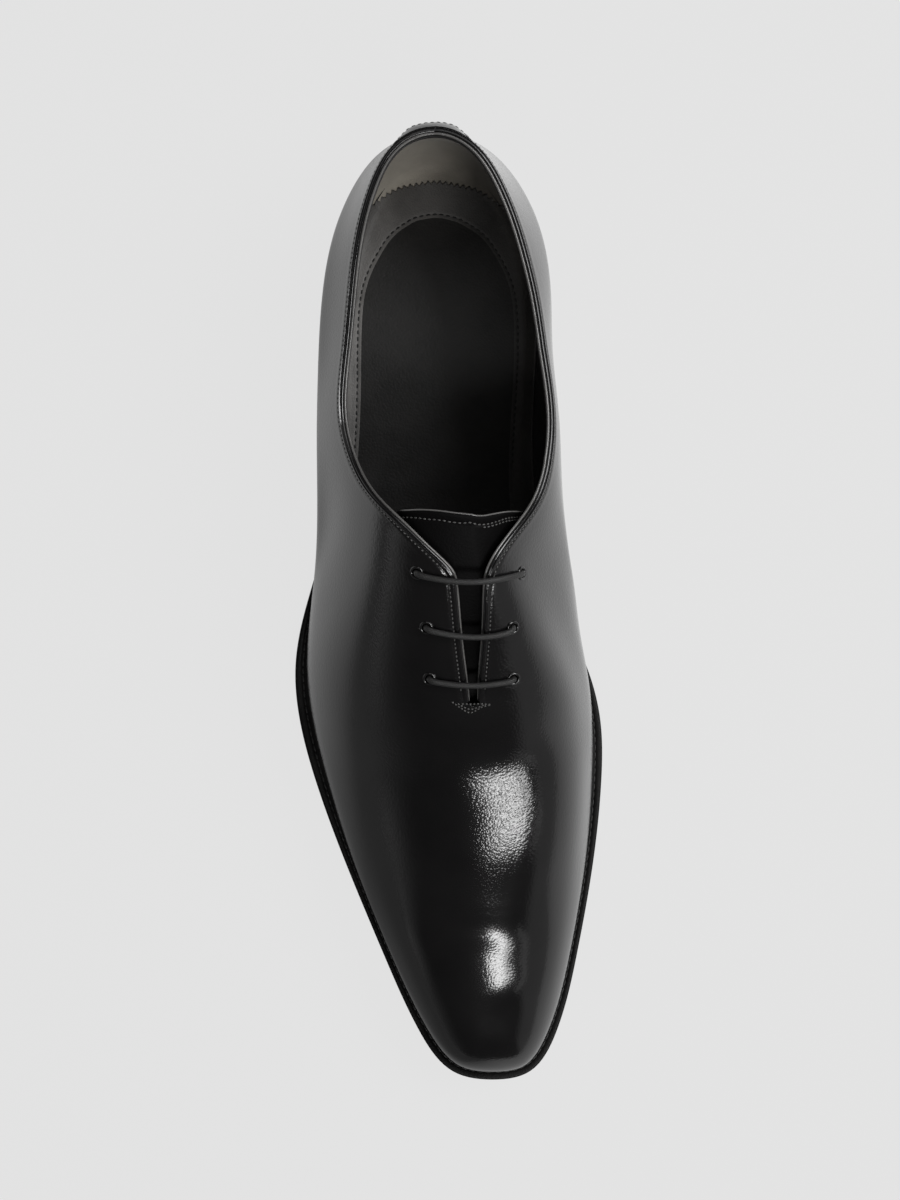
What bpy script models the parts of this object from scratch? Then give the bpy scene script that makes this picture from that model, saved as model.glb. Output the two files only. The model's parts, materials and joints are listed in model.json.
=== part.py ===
"""Oxford shoe for the right foot: a one-piece upper on a welted leather sole with a stacked heel.

Frame: +Y runs to the heel, -Y to the toe, +X to the medial side, +Z up, and the floor is at zero.
Tables and sizes are in millimetres unless a note says otherwise. A station is a share of the
shoe's length, counted from the toe.
"""
import math

import bmesh
import bpy
import numpy as np
from mathutils import Vector
from mathutils.bvhtree import BVHTree

MM = 0.001

# Driving dimensions
SHOE_LENGTH = 312.0
ORIGIN_STATION = 0.498
BALL_WIDTH = 105.0
HEEL_HEIGHT = 25.5
TOE_SPRING = 9.5
OUTSOLE = 5.0
WELT = 2.8
INSOLE = 3.5
WALL = 2.2
GAP = 0.3

# Stations where the sole leaves the floor, and where the heel seat levels out
BALL_START = 0.27
BALL_END = 0.385
SEAT_START = 0.90
SPRING_POWER = 1.8

# Heel: its breast station, top piece thickness, and how far its sides draw in to the floor
BREAST = 0.769
TOP_PIECE = 6.0
HEEL_TAPER = 1.4

# Upper: how far the toe and heel columns lean in over the foot, and where the throat ends
TOE_PIVOT = 24.0
HEEL_PIVOT = 36.0
THROAT_END = 0.4215
BULGE_TAIL = 1.2
BULGE_FADE = 6
COLLAR_START = 26.0
COLLAR_BLEND = 26.0

# Small parts
EYELET_RADIUS = 1.7
LACE_RADIUS = 1.0
LACE_SAG = 2.3
LACE_TAIL = 2.6
TONGUE_THICKNESS = 1.8
TONGUE_DEPTH = 5.0
BEAD_RADIUS = 0.7
TAB_THICKNESS = 1.0

SIDES = ("lateral", "medial")


def spline(x, knots, values):
    """Natural cubic spline through the knots, held level beyond its ends."""
    count = len(knots)
    step = np.diff(knots)
    slope = np.diff(values) / step
    matrix = np.eye(count)
    right = np.zeros(count)
    for i in range(1, count - 1):
        matrix[i, i - 1:i + 2] = step[i - 1], 2 * (step[i - 1] + step[i]), step[i]
        right[i] = 6 * (slope[i] - slope[i - 1])
    bend = np.linalg.solve(matrix, right)
    x = np.clip(x, knots[0], knots[-1])
    i = np.clip(np.searchsorted(knots, x) - 1, 0, count - 2)
    low = (knots[i + 1] - x) / step[i]
    high = (x - knots[i]) / step[i]
    curve = (low**3 - low) * bend[i] + (high**3 - high) * bend[i + 1]
    return low * values[i] + high * values[i + 1] + curve * step[i]**2 / 6


class Table:
    """Named columns against station."""

    def __init__(self, names, rows):
        self.knots, *columns = np.array(rows, float).T
        self.columns = dict(zip(names, columns))

    def at(self, name, station):
        return spline(station, self.knots, self.columns[name])


# Sole edge seen from above, as shares of the ball width to each side
EDGE_TIP = (0.0, 0.140)
EDGE_BACK = (0.991, -0.035)
EDGE = Table(("lateral", "medial"), [
    (0.0115, 0.014, 0.262),
    (0.056, -0.099, 0.353),
    (0.133, -0.2095, 0.417),
    (0.237, -0.341, 0.474),
    (0.325, -0.436, 0.500),
    (0.394, -0.4886, 0.495),
    (0.448, -0.500, 0.452),
    (0.500, -0.475, 0.380),
    (0.564, -0.419, 0.303),
    (0.644, -0.371, 0.264),
    (0.740, -0.353, 0.276),
    (0.8365, -0.346, 0.279),
    (0.920, -0.287, 0.216),
    (0.973, -0.187, 0.106),
])

# Welt margin outside the upper to each side, and the bevel under the sole's edge
MARGIN = Table(("lateral", "medial", "bevel"), [
    (0.00, 4.8, 4.8, 1.2),
    (0.12, 3.8, 4.0, 1.2),
    (0.24, 4.0, 4.2, 1.2),
    (0.40, 5.6, 4.6, 1.4),
    (0.50, 4.2, 3.0, 3.0),
    (0.62, 2.0, 1.6, 4.2),
    (0.75, 2.2, 2.0, 2.4),
    (1.00, 2.6, 2.6, 1.2),
])

# The last: ridge line, fullness of the section, and the bulge of each wall with its height
LAST = Table(("ridge_x", "ridge_z", "flat", "square",
              "bulge_lateral", "level_lateral", "bulge_medial", "level_medial"), [
    (0.00, 14.7, 33.0, 3.0, 2.6, 1.0, 7.0, 1.0, 7.0),
    (0.10, 14.2, 40.0, 2.9, 2.5, 1.0, 7.0, 1.0, 7.0),
    (0.20, 12.4, 47.0, 2.6, 2.2, 1.0, 8.0, 1.0, 8.0),
    (0.30, 10.2, 56.8, 2.4, 2.0, 1.0, 9.0, 1.0, 9.0),
    (0.40, 8.0, 70.5, 2.3, 1.9, 1.0, 11.0, 1.6, 12.0),
    (0.48, 7.0, 83.5, 2.3, 1.9, 1.2, 14.0, 3.8, 18.0),
    (0.545, 6.5, 94.5, 2.3, 2.0, 2.2, 17.0, 9.6, 27.0),
    (0.62, 4.5, 104.0, 2.4, 2.2, 4.6, 21.0, 11.6, 43.0),
    (0.70, 1.5, 110.0, 2.5, 2.4, 6.5, 24.0, 10.2, 54.0),
    (0.77, -0.8, 112.5, 2.3, 2.2, 6.7, 20.0, 6.2, 44.0),
    (0.83, -2.8, 116.0, 1.9, 2.1, 5.9, 19.0, 5.4, 24.0),
    (0.90, -3.4, 125.0, 1.9, 2.0, 5.6, 20.0, 5.2, 20.0),
    (1.00, -3.7, 148.0, 2.2, 2.0, 3.8, 20.0, 3.8, 20.0),
])

# Height of the collar's edge
COLLAR = Table(("lateral", "medial"), [
    (0.57, 97.0, 95.0),
    (0.60, 90.0, 89.0),
    (0.63, 85.8, 84.6),
    (0.66, 81.6, 81.8),
    (0.70, 78.4, 80.3),
    (0.77, 78.8, 81.0),
    (0.84, 81.8, 83.2),
    (0.92, 87.0, 87.8),
    (0.985, 91.0, 91.0),
    (1.05, 92.0, 92.0),
])

# Distance of the throat's edges from the ridge line
THROAT = Table(("lateral", "medial"), [
    (0.4245, 2.3, 2.3),
    (0.442, 2.7, 2.7),
    (0.500, 4.4, 4.4),
    (0.535, 5.2, 5.2),
    (0.5465, 6.0, 6.1),
    (0.5577, 9.0, 7.8),
    (0.580, 15.8, 13.0),
    (0.615, 24.6, 22.3),
    (0.647, 31.0, 27.5),
    (0.70, 36.0, 33.0),
])

# Eyelets: distance from the ridge line to each side
EYELETS = Table(("lateral", "medial"), [
    (0.443, 14.8, 14.2),
    (0.495, 15.8, 14.4),
    (0.548, 16.7, 15.7),
])

# Tongue: half width, and depth of its face under the outside of the upper
TONGUE = Table(("half_width", "depth"), [
    (0.372, 13.0, WALL + GAP),
    (0.395, 16.0, WALL + 2 * GAP),
    (0.425, 19.0, TONGUE_DEPTH),
    (0.500, 22.5, TONGUE_DEPTH),
    (0.560, 25.0, TONGUE_DEPTH),
    (0.588, 26.0, TONGUE_DEPTH),
    (0.600, 23.5, TONGUE_DEPTH),
])

# Heel tab: height on the back of the upper against its half width, and the fall of its top edge
TAB = [
    (60.0, 5.0),
    (62.0, 7.6),
    (66.0, 9.2),
    (76.0, 10.6),
    (91.0, 12.2),
]
TAB_FALL = 1.0


def along(station):
    return SHOE_LENGTH * (np.asarray(station, float) - ORIGIN_STATION)


def station_of(y):
    return np.asarray(y, float) / SHOE_LENGTH + ORIGIN_STATION


def smoothstep(share):
    share = np.clip(share, 0, 1)
    return share * share * (3 - 2 * share)


def underside(y):
    """Height of the sole's underside: toe spring, flat ball, arch and heel seat."""
    station = station_of(y)
    spring = np.clip((BALL_START - station) / BALL_START, 0, 1) ** SPRING_POWER
    rise = smoothstep((station - BALL_END) / (SEAT_START - BALL_END))
    return TOE_SPRING * spring + HEEL_HEIGHT * rise


def feather_z(y):
    """Height of the line where the upper meets the welt."""
    return underside(y) + OUTSOLE + WELT + 2 * GAP


def closed_spline(points, count):
    """Smooth closed curve through the points."""
    points = np.array(points, float)
    size = len(points)
    step = np.linalg.norm(np.roll(points, -1, 0) - points, axis=1)
    matrix = np.zeros((size, size))
    right = np.zeros((size, 2))
    for i in range(size):
        before = (i - 1) % size
        after = (i + 1) % size
        matrix[i, before] += step[before]
        matrix[i, i] += 2 * (step[before] + step[i])
        matrix[i, after] += step[i]
        right[i] = 6 * ((points[after] - points[i]) / step[i] - (points[i] - points[before]) / step[before])
    bend = np.linalg.solve(matrix, right)
    knots = np.concatenate([[0], np.cumsum(step)])
    run = np.linspace(0, knots[-1], count, endpoint=False)
    i = np.searchsorted(knots, run, side="right") - 1
    after = (i + 1) % size
    low = ((knots[i + 1] - run) / step[i])[:, None]
    high = ((run - knots[i]) / step[i])[:, None]
    curve = (low**3 - low) * bend[i] + (high**3 - high) * bend[after]
    return low * points[i] + high * points[after] + curve * step[i][:, None]**2 / 6


def sole_edge(count=720):
    """Outline of the sole from above: tip, lateral side, back, medial side."""
    rows = along(EDGE.knots)
    lateral = np.column_stack([BALL_WIDTH * EDGE.columns["lateral"], rows])
    medial = np.column_stack([BALL_WIDTH * EDGE.columns["medial"], rows])
    tip = (BALL_WIDTH * EDGE_TIP[1], along(EDGE_TIP[0]))
    back = (BALL_WIDTH * EDGE_BACK[1], along(EDGE_BACK[0]))
    return closed_spline([tip, *lateral, back, *medial[::-1]], count)


def moved_in(outline, amount):
    """Outline drawn in by an amount at each of its points."""
    tangent = np.roll(outline, -1, 0) - np.roll(outline, 1, 0)
    normal = np.column_stack([tangent[:, 1], -tangent[:, 0]])
    normal /= np.linalg.norm(normal, axis=1)[:, None]
    inward = np.sign(np.sum((outline.mean(0) - outline) * normal))
    return outline + inward * normal * np.broadcast_to(amount, len(outline))[:, None]


def welt_margin(outline, softening=20):
    """Margin at each point of the sole edge, eased where the two sides meet."""
    station = station_of(outline[:, 1])
    lateral = np.arange(len(outline)) < np.argmax(outline[:, 1])
    margin = np.where(lateral, MARGIN.at("lateral", station), MARGIN.at("medial", station))
    for _ in range(softening):
        margin = (np.roll(margin, 1) + margin + np.roll(margin, -1)) / 3
    return margin


def halves(outline):
    """Lateral and medial lines of an outline, each from the tip to the back."""
    outline = np.roll(outline, -np.argmin(outline[:, 1]), 0)
    back = np.argmax(outline[:, 1])
    medial = np.vstack([outline[back:], outline[:1]])[::-1]
    return {"lateral": outline[:back + 1], "medial": medial}


def by_arc(line, shares):
    """Points at shares of a line's length."""
    run = np.concatenate([[0], np.cumsum(np.linalg.norm(np.diff(line, axis=0), axis=1))])
    return np.column_stack([np.interp(np.asarray(shares) * run[-1], run, axis) for axis in line.T])


EDGE_LINE = sole_edge()
FEATHER = moved_in(EDGE_LINE, welt_margin(EDGE_LINE))
FEATHER_HALF = halves(FEATHER)
TOE_Y = FEATHER[:, 1].min()
HEEL_Y = FEATHER[:, 1].max()


def spine(shares):
    """Points of the ridge line that the columns at these shares run up to."""
    y = np.mean([by_arc(FEATHER_HALF[side], shares)[:, 1] for side in SIDES], axis=0)
    toe = np.clip((TOE_Y + 2 * TOE_PIVOT - y) / (2 * TOE_PIVOT), 0, 1)
    heel = np.clip((y - HEEL_Y + 2 * HEEL_PIVOT) / (2 * HEEL_PIVOT), 0, 1)
    y = y + TOE_PIVOT * toe**2 - HEEL_PIVOT * heel**2
    return np.column_stack([LAST.at("ridge_x", station_of(y)), y])


def wall(base, top, side, count=240):
    """Section of the last on one side, from the feather line up to the ridge."""
    station = station_of(base[1])
    bulge = LAST.at("bulge_" + side, station)
    level = LAST.at("level_" + side, station)
    turn = np.linspace(0, math.pi / 2, count)
    reach = np.maximum(np.cos(turn), 0) ** (2 / LAST.at("flat", station))
    rise = np.sin(turn) ** (2 / LAST.at("square", station))
    plan = top + (base - top) * reach[:, None]
    foot = feather_z(base[1])
    z = foot + (LAST.at("ridge_z", station_of(plan[:, 1])) - foot) * rise
    height = (z - foot) / level
    hump = np.where(height < 1, height * np.exp(1 - height), np.exp(-((height - 1) / BULGE_TAIL) ** 2))
    outward = (base - top) / np.linalg.norm(base - top)
    plan = plan + outward * (bulge * hump * (1 - rise**BULGE_FADE))[:, None]
    return np.column_stack([plan, z])


def last_crossing(values, limits):
    """Fractional index where the values, followed back from their end, first pass the limits."""
    over = np.nonzero(values > limits)[0]
    if len(over) == 0:
        return float(np.argmax(values))
    i = min(over[-1], len(values) - 2)
    before = values[i] - limits[i]
    after = values[i + 1] - limits[i + 1]
    return i + before / (before - after)


def opening_index(points, side, spine_y):
    """Fractional index where the collar or the throat cuts a wall, or its end on the closed vamp."""
    if station_of(spine_y) <= THROAT_END:
        return len(points) - 1
    station = station_of(points[:, 1])
    spread = np.abs(points[:, 0] - LAST.at("ridge_x", station))
    throat = last_crossing(spread, THROAT.at(side, station))
    collar = last_crossing(COLLAR.at(side, station) - points[:, 2], np.zeros(len(points)))
    share = smoothstep((spine_y - COLLAR_START) / COLLAR_BLEND)
    return (1 - share) * throat + share * collar


def cut_at(points, index):
    """Points up to a fractional index."""
    whole = int(index)
    if whole >= len(points) - 1:
        return points
    end = points[whole] + (points[whole + 1] - points[whole]) * (index - whole)
    return np.vstack([points[:whole + 1], end])


def column_shares(vamp, throat, quarters):
    """Shares of the feather line for the columns, with one at the throat's end and one at its top."""
    dense = np.linspace(0, 1, 400)
    ridge_y = spine(dense)[:, 1]
    low = np.interp(along(THROAT_END), ridge_y, dense)
    high = np.interp(COLLAR_START + COLLAR_BLEND, ridge_y, dense)
    return np.concatenate([
        np.linspace(0, low, vamp + 1),
        np.linspace(low, high, throat + 1)[1:],
        np.linspace(high, 1, quarters + 1)[1:],
    ])


def wall_grid(shares, side, rows, open_top):
    """Columns of points up one side of the last, cut at the opening where it is wanted."""
    grid = []
    for base, top in zip(by_arc(FEATHER_HALF[side], shares), spine(shares)):
        points = wall(base, top, side)
        if open_top:
            points = cut_at(points, opening_index(points, side, top[1]))
        grid.append(by_arc(points, np.linspace(0, 1, rows + 1)))
    return np.array(grid)


def finish(name, colour, roughness):
    material = bpy.data.materials.new(name)
    material.use_nodes = True
    shader = material.node_tree.nodes["Principled BSDF"]
    shader.inputs["Base Color"].default_value = (*colour, 1)
    shader.inputs["Roughness"].default_value = roughness
    return material


def add_object(name, data, material, collection):
    data.materials.append(material)
    obj = bpy.data.objects.new(name, data)
    collection.objects.link(obj)
    return obj


def mesh_from(bm, name, merge=0.00002):
    """Closed up mesh with its faces outwards."""
    bmesh.ops.remove_doubles(bm, verts=bm.verts, dist=merge)
    bmesh.ops.dissolve_degenerate(bm, edges=bm.edges, dist=merge / 10)
    bmesh.ops.recalc_face_normals(bm, faces=bm.faces)
    mesh = bpy.data.meshes.new(name)
    bm.to_mesh(mesh)
    bm.free()
    mesh.shade_smooth()
    mesh.set_sharp_from_angle(angle=math.radians(35))
    return mesh


def add_grid(bm, points):
    """Sheet of quads through rows of points."""
    rows = [[bm.verts.new(Vector(point) * MM) for point in row] for row in points]
    for first, second in zip(rows, rows[1:]):
        for i in range(len(first) - 1):
            bm.faces.new((first[i], first[i + 1], second[i + 1], second[i]))


def rungs(outline, count, start=None):
    """Points of an outline in lateral and medial pairs across it, closer together at round ends."""
    tip, back = outline[:, 1].min(), outline[:, 1].max()
    share = np.linspace(0, 1, count + 1)
    if start is None:
        y = tip + (back - tip) * (1 - np.cos(math.pi * share)) / 2
    else:
        y = start + (back - start) * np.sin(math.pi / 2 * share)
    sides = halves(outline)
    across = [np.interp(y, sides[side][:, 1], sides[side][:, 0]) for side in SIDES]
    return np.stack([np.column_stack([x, y]) for x in across], axis=1)


def raised(pairs, height):
    """Rungs in plan set at a height, which may be a function of their place along the shoe."""
    z = height(pairs[:, :, 1]) if callable(height) else np.full(pairs.shape[:2], height)
    return np.concatenate([pairs, z[:, :, None]], axis=2)


def add_slab(bm, levels):
    """Solid through levels of rungs, from the bottom up."""
    add_grid(bm, levels[0])
    add_grid(bm, levels[-1])
    for i in range(len(SIDES)):
        add_grid(bm, [level[:, i] for level in levels])
    for end in (0, -1):
        add_grid(bm, [level[end] for level in levels])


def drawn_in(amount):
    """Sole edge drawn in evenly."""
    return moved_in(EDGE_LINE, amount)


def make_outsole():
    """Leather sole with a flat ball, arch and seat, its lower edge bevelled most at the waist."""
    bevel = MARGIN.at("bevel", station_of(EDGE_LINE[:, 1]))
    bevel_rise = 0.34 * OUTSOLE
    full = rungs(EDGE_LINE, 44)
    low = rungs(drawn_in(bevel), 44)
    levels = [
        raised(low, underside),
        raised(full, lambda y: underside(y) + bevel_rise),
        raised(full, lambda y: underside(y) + OUTSOLE),
    ]
    bm = bmesh.new()
    add_slab(bm, levels)
    return mesh_from(bm, "outsole")


def make_welt(under_upper=1.9):
    """Flat strip all round, from the sole's edge to just under the upper."""
    outer = rungs(EDGE_LINE, 44)
    inner = rungs(moved_in(FEATHER, under_upper), 44)
    floor = OUTSOLE + GAP
    sections = []
    for pairs, lift in ((outer, floor), (outer, floor + WELT), (inner, floor + WELT), (inner, floor)):
        sections.append(raised(pairs, lambda y, lift=lift: underside(y) + lift))
    bm = bmesh.new()
    for i in range(len(SIDES)):
        loop = [section[:, i] for section in sections]
        add_grid(bm, loop + loop[:1])
    return mesh_from(bm, "welt")


def make_insole(clearance=0.8):
    """Insole on the sole, inside the upper."""
    pairs = rungs(moved_in(FEATHER, WALL + clearance), 40)
    floor = OUTSOLE + GAP
    levels = [
        raised(pairs, lambda y: underside(y) + floor),
        raised(pairs, lambda y: underside(y) + floor + INSOLE),
    ]
    bm = bmesh.new()
    add_slab(bm, levels)
    return mesh_from(bm, "insole")


def make_heel_base():
    """Stacked heel under the seat, drawing in a little to the top piece."""
    start = along(BREAST)
    floor = TOP_PIECE + GAP
    draw = HEEL_TAPER * (1 - floor / HEEL_HEIGHT)
    low = rungs(drawn_in(1 + draw), 24, start)
    high = rungs(drawn_in(1), 24, start)
    levels = [
        raised(low, floor),
        raised(high, lambda y: underside(y) - GAP),
    ]
    bm = bmesh.new()
    add_slab(bm, levels)
    return mesh_from(bm, "heel_base")


def make_heel_top_piece():
    """Walking layer of the heel, flat on the floor."""
    start = along(BREAST)
    draw = HEEL_TAPER * (1 - TOP_PIECE / HEEL_HEIGHT)
    levels = [
        raised(rungs(drawn_in(1 + HEEL_TAPER), 24, start), 0.0),
        raised(rungs(drawn_in(1 + draw), 24, start), TOP_PIECE),
    ]
    bm = bmesh.new()
    add_slab(bm, levels)
    return mesh_from(bm, "heel_top_piece")


def make_upper(shares, rows=12, pole_merge=0.6):
    """Outer face of the upper, closed over the vamp and open at throat, collar and underneath."""
    bm = bmesh.new()
    for side in SIDES:
        add_grid(bm, wall_grid(shares, side, rows, open_top=True))
    return mesh_from(bm, "upper", merge=pole_merge * MM)


def last_form():
    """Whole outer form of the last, to find places on the upper by."""
    bm = bmesh.new()
    shares = column_shares(24, 24, 20)
    for side in SIDES:
        add_grid(bm, wall_grid(shares, side, 40, open_top=False))
    bmesh.ops.remove_doubles(bm, verts=bm.verts, dist=0.05 * MM)
    bmesh.ops.recalc_face_normals(bm, faces=bm.faces)
    tree = BVHTree.FromBMesh(bm)
    bm.free()
    return tree


def spot_from(form, start, direction):
    """Place on the form and its outward normal, in millimetres, met from outside."""
    place, normal, _, _ = form.ray_cast(Vector(start) * MM, Vector(direction))
    if normal.dot(Vector(direction)) > 0:
        normal = -normal
    return np.array(place) / MM, np.array(normal)


def spot_below(form, x, y):
    """Place on the upper's outside above a point in plan."""
    return spot_from(form, (x, y, 2 * SHOE_LENGTH), (0, 0, -1))


def eyelet_spots(form):
    """Eyelets from the toe end up, on each side."""
    spots = {side: [] for side in SIDES}
    for i, station in enumerate(EYELETS.knots):
        ridge_x = LAST.at("ridge_x", station)
        for side, sign in zip(SIDES, (-1, 1)):
            x = ridge_x + sign * EYELETS.columns[side][i]
            spots[side].append(spot_below(form, x, along(station)))
    return spots


def make_tongue(form, rows=18, across=12):
    """Tongue under the throat, fixed beneath the vamp at its toe end."""
    bm = bmesh.new()
    grid = []
    for station in np.linspace(TONGUE.knots[0], TONGUE.knots[-1], rows + 1):
        row = []
        for share in np.linspace(-1, 1, across + 1):
            x = LAST.at("ridge_x", station) + share * TONGUE.at("half_width", station)
            place, normal = spot_below(form, x, along(station))
            row.append(place - normal * TONGUE.at("depth", station))
        grid.append(row)
    add_grid(bm, grid)
    return mesh_from(bm, "tongue")


def make_heel_tab(form, across=12, up=10):
    """Strip over the back seam, a step outside the upper."""
    bm = bmesh.new()
    heights, widths = np.array(TAB).T
    middle = LAST.at("ridge_x", 1.0)
    grid = []
    for z in np.linspace(heights[0], heights[-1], up + 1):
        half = np.interp(z, heights, widths)
        fall = TAB_FALL * (z - heights[0]) / (heights[-1] - heights[0])
        row = []
        for share in np.linspace(-1, 1, across + 1):
            start = (middle + share * half, SHOE_LENGTH, z - fall * share**2)
            place, normal = spot_from(form, start, (0, -1, 0))
            row.append(place + normal * GAP)
        grid.append(row)
    add_grid(bm, grid)
    return mesh_from(bm, "heel_tab")


def smooth_path(points, spacing):
    """Evenly spaced points on a smooth curve through a route."""
    points = np.array(points, float)
    before = np.vstack([2 * points[0] - points[1], points[:-1]])
    after = np.vstack([points[1:], 2 * points[-1] - points[-2]])
    slope = (after - before) / 2
    dense = []
    for i in range(len(points) - 1):
        for t in np.linspace(0, 1, 12, endpoint=False):
            dense.append((2 * t**3 - 3 * t**2 + 1) * points[i] + (t**3 - 2 * t**2 + t) * slope[i]
                         + (3 * t**2 - 2 * t**3) * points[i + 1] + (t**3 - t**2) * slope[i + 1])
    dense = np.vstack([dense, points[-1:]])
    length = np.linalg.norm(np.diff(dense, axis=0), axis=1).sum()
    return by_arc(dense, np.linspace(0, 1, int(length / spacing) + 1))


def make_tube(name, points, radius):
    """Round cord along points, with its ends filled."""
    curve = bpy.data.curves.new(name, "CURVE")
    curve.dimensions = "3D"
    curve.bevel_depth = radius * MM
    curve.bevel_resolution = 2
    curve.use_fill_caps = True
    path = curve.splines.new("POLY")
    path.points.add(len(points) - 1)
    for knot, point in zip(path.points, points):
        knot.co = (*(Vector(point) * MM), 1)
    return curve


def lace_bar(form, start, end, height):
    """Route over the upper from one eyelet to another, sagging towards the toe."""
    route = []
    for share in np.linspace(0.06, 0.94, 9):
        plan = start[0] + (end[0] - start[0]) * share
        sag = LACE_SAG * 4 * share * (1 - share)
        place, normal = spot_below(form, plan[0], plan[1] - sag)
        route.append(place + normal * height)
    return route


def lace_under(form, start, end, depth, aside=0.0):
    """Route under the upper between eyelets, passing aside of the straight line."""
    route = []
    for share in np.linspace(0.08, 0.92, 6):
        plan = start[0] + (end[0] - start[0]) * share
        shift = aside * math.sin(math.pi * share)
        place, normal = spot_below(form, plan[0] + shift, plan[1])
        route.append(place - normal * depth)
    return route


def make_lace(form):
    """One lace in three bars, its two ends hidden under the top eyelets."""
    spots = eyelet_spots(form)
    low_lateral, mid_lateral, top_lateral = spots["lateral"]
    low_medial, mid_medial, top_medial = spots["medial"]
    over = LACE_RADIUS + GAP
    under = WALL + (TONGUE_DEPTH - WALL) / 2
    inside = WALL + 0.4 * LACE_RADIUS

    def through(spot, way):
        place, normal = spot
        ends = [place + normal * 0.2 * LACE_RADIUS, place - normal * inside]
        return ends if way == "in" else ends[::-1]

    hidden = lace_under(form, mid_medial, top_medial, under, aside=-1.4)
    route = hidden[::-1][1:]
    route += through(mid_medial, "out")
    route += lace_bar(form, mid_medial, mid_lateral, over)
    route += through(mid_lateral, "in")
    route += lace_under(form, mid_lateral, low_lateral, under)
    route += through(low_lateral, "out")
    route += lace_bar(form, low_lateral, low_medial, over)
    route += through(low_medial, "in")
    route += lace_under(form, low_medial, top_medial, under, aside=3.6)
    route += through(top_medial, "out")
    route += lace_bar(form, top_medial, top_lateral, over)
    route += through(top_lateral, "in")
    place, normal = spot_below(form, top_lateral[0][0] - LACE_TAIL, top_lateral[0][1])
    route.append(place - normal * under)
    return make_tube("lace", smooth_path(route, 1.7), LACE_RADIUS)


def make_bead(shares, first_station=0.431):
    """Rolled edge along the collar and both sides of the throat."""
    lines = {}
    started = spine(shares)[:, 1] > along(first_station)
    for side, inward_sign in zip(SIDES, (-1, 1)):
        grid = wall_grid(shares, side, 40, open_top=True)
        rim = grid[:, -1]
        rise = rim - grid[:, -2]
        rise /= np.linalg.norm(rise, axis=1)[:, None]
        run = np.gradient(rim, axis=0)
        run[-1] = (-inward_sign, 0, 0)
        inward = inward_sign * np.cross(rise, run)
        inward /= np.linalg.norm(inward, axis=1)[:, None]
        lines[side] = (rim + inward * WALL / 2 + rise * (BEAD_RADIUS + GAP))[started]
    route = np.vstack([lines["lateral"], lines["medial"][-2::-1]])
    return make_tube("collar_binding", route, BEAD_RADIUS)


def eyelet_cutters(form, collection):
    """Round punches through the upper, square to its surface."""
    for side, spots in eyelet_spots(form).items():
        for number, (place, normal) in enumerate(spots, start=1):
            bm = bmesh.new()
            bmesh.ops.create_cone(bm, cap_ends=True, segments=12, radius1=EYELET_RADIUS * MM,
                                  radius2=EYELET_RADIUS * MM, depth=4 * WALL * MM)
            mesh = bpy.data.meshes.new("eyelet punch")
            bm.to_mesh(mesh)
            bm.free()
            punch = bpy.data.objects.new(f"punch_{side}_{number}", mesh)
            punch.rotation_mode = "QUATERNION"
            punch.rotation_quaternion = Vector(normal).to_track_quat("Z", "Y")
            punch.location = Vector(place) * MM
            punch.hide_render = True
            punch.display_type = "WIRE"
            collection.objects.link(punch)


def add_wall(obj, thickness, offset):
    """Give a sheet its thickness: inwards for offset -1, outwards for 1."""
    solid = obj.modifiers.new("wall", "SOLIDIFY")
    solid.thickness = thickness * MM
    solid.offset = offset


def new_collection(name):
    collection = bpy.data.collections.new(name)
    bpy.context.scene.collection.children.link(collection)
    return collection


def main():
    for obj in list(bpy.data.objects):
        bpy.data.objects.remove(obj, do_unlink=True)
    shoe = new_collection("oxford shoe")
    punches = new_collection("eyelet punches")

    black = (0.012, 0.012, 0.013)
    calf = finish("black calf", black, 0.25)
    sole_black = finish("black sole leather", (0.018, 0.017, 0.016), 0.45)
    heel_black = finish("black heel stack", (0.016, 0.015, 0.015), 0.35)
    rubber = finish("black top piece rubber", (0.02, 0.02, 0.02), 0.75)
    lining = finish("black lining leather", (0.014, 0.013, 0.013), 0.5)
    cord = finish("black waxed lace", (0.01, 0.01, 0.01), 0.5)

    form = last_form()
    shares = column_shares(vamp=16, throat=14, quarters=16)

    add_object("outsole", make_outsole(), sole_black, shoe)
    add_object("welt", make_welt(), sole_black, shoe)
    add_object("insole", make_insole(), lining, shoe)
    add_object("heel_base", make_heel_base(), heel_black, shoe)
    add_object("heel_top_piece", make_heel_top_piece(), rubber, shoe)

    upper = add_object("upper", make_upper(shares), calf, shoe)
    add_wall(upper, WALL, -1)
    eyelet_cutters(form, punches)
    holes = upper.modifiers.new("eyelets", "BOOLEAN")
    holes.operand_type = "COLLECTION"
    holes.collection = punches

    tongue = add_object("tongue", make_tongue(form), calf, shoe)
    add_wall(tongue, TONGUE_THICKNESS, -1)
    heel_tab = add_object("heel_tab", make_heel_tab(form), calf, shoe)
    add_wall(heel_tab, TAB_THICKNESS, 1)

    add_object("lace", make_lace(form), cord, shoe)
    add_object("collar_binding", make_bead(shares), calf, shoe)


main()
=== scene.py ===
import json
import math

import bmesh
import bpy
import numpy as np
from mathutils import Matrix, Vector
from mathutils.bvhtree import BVHTree

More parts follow.
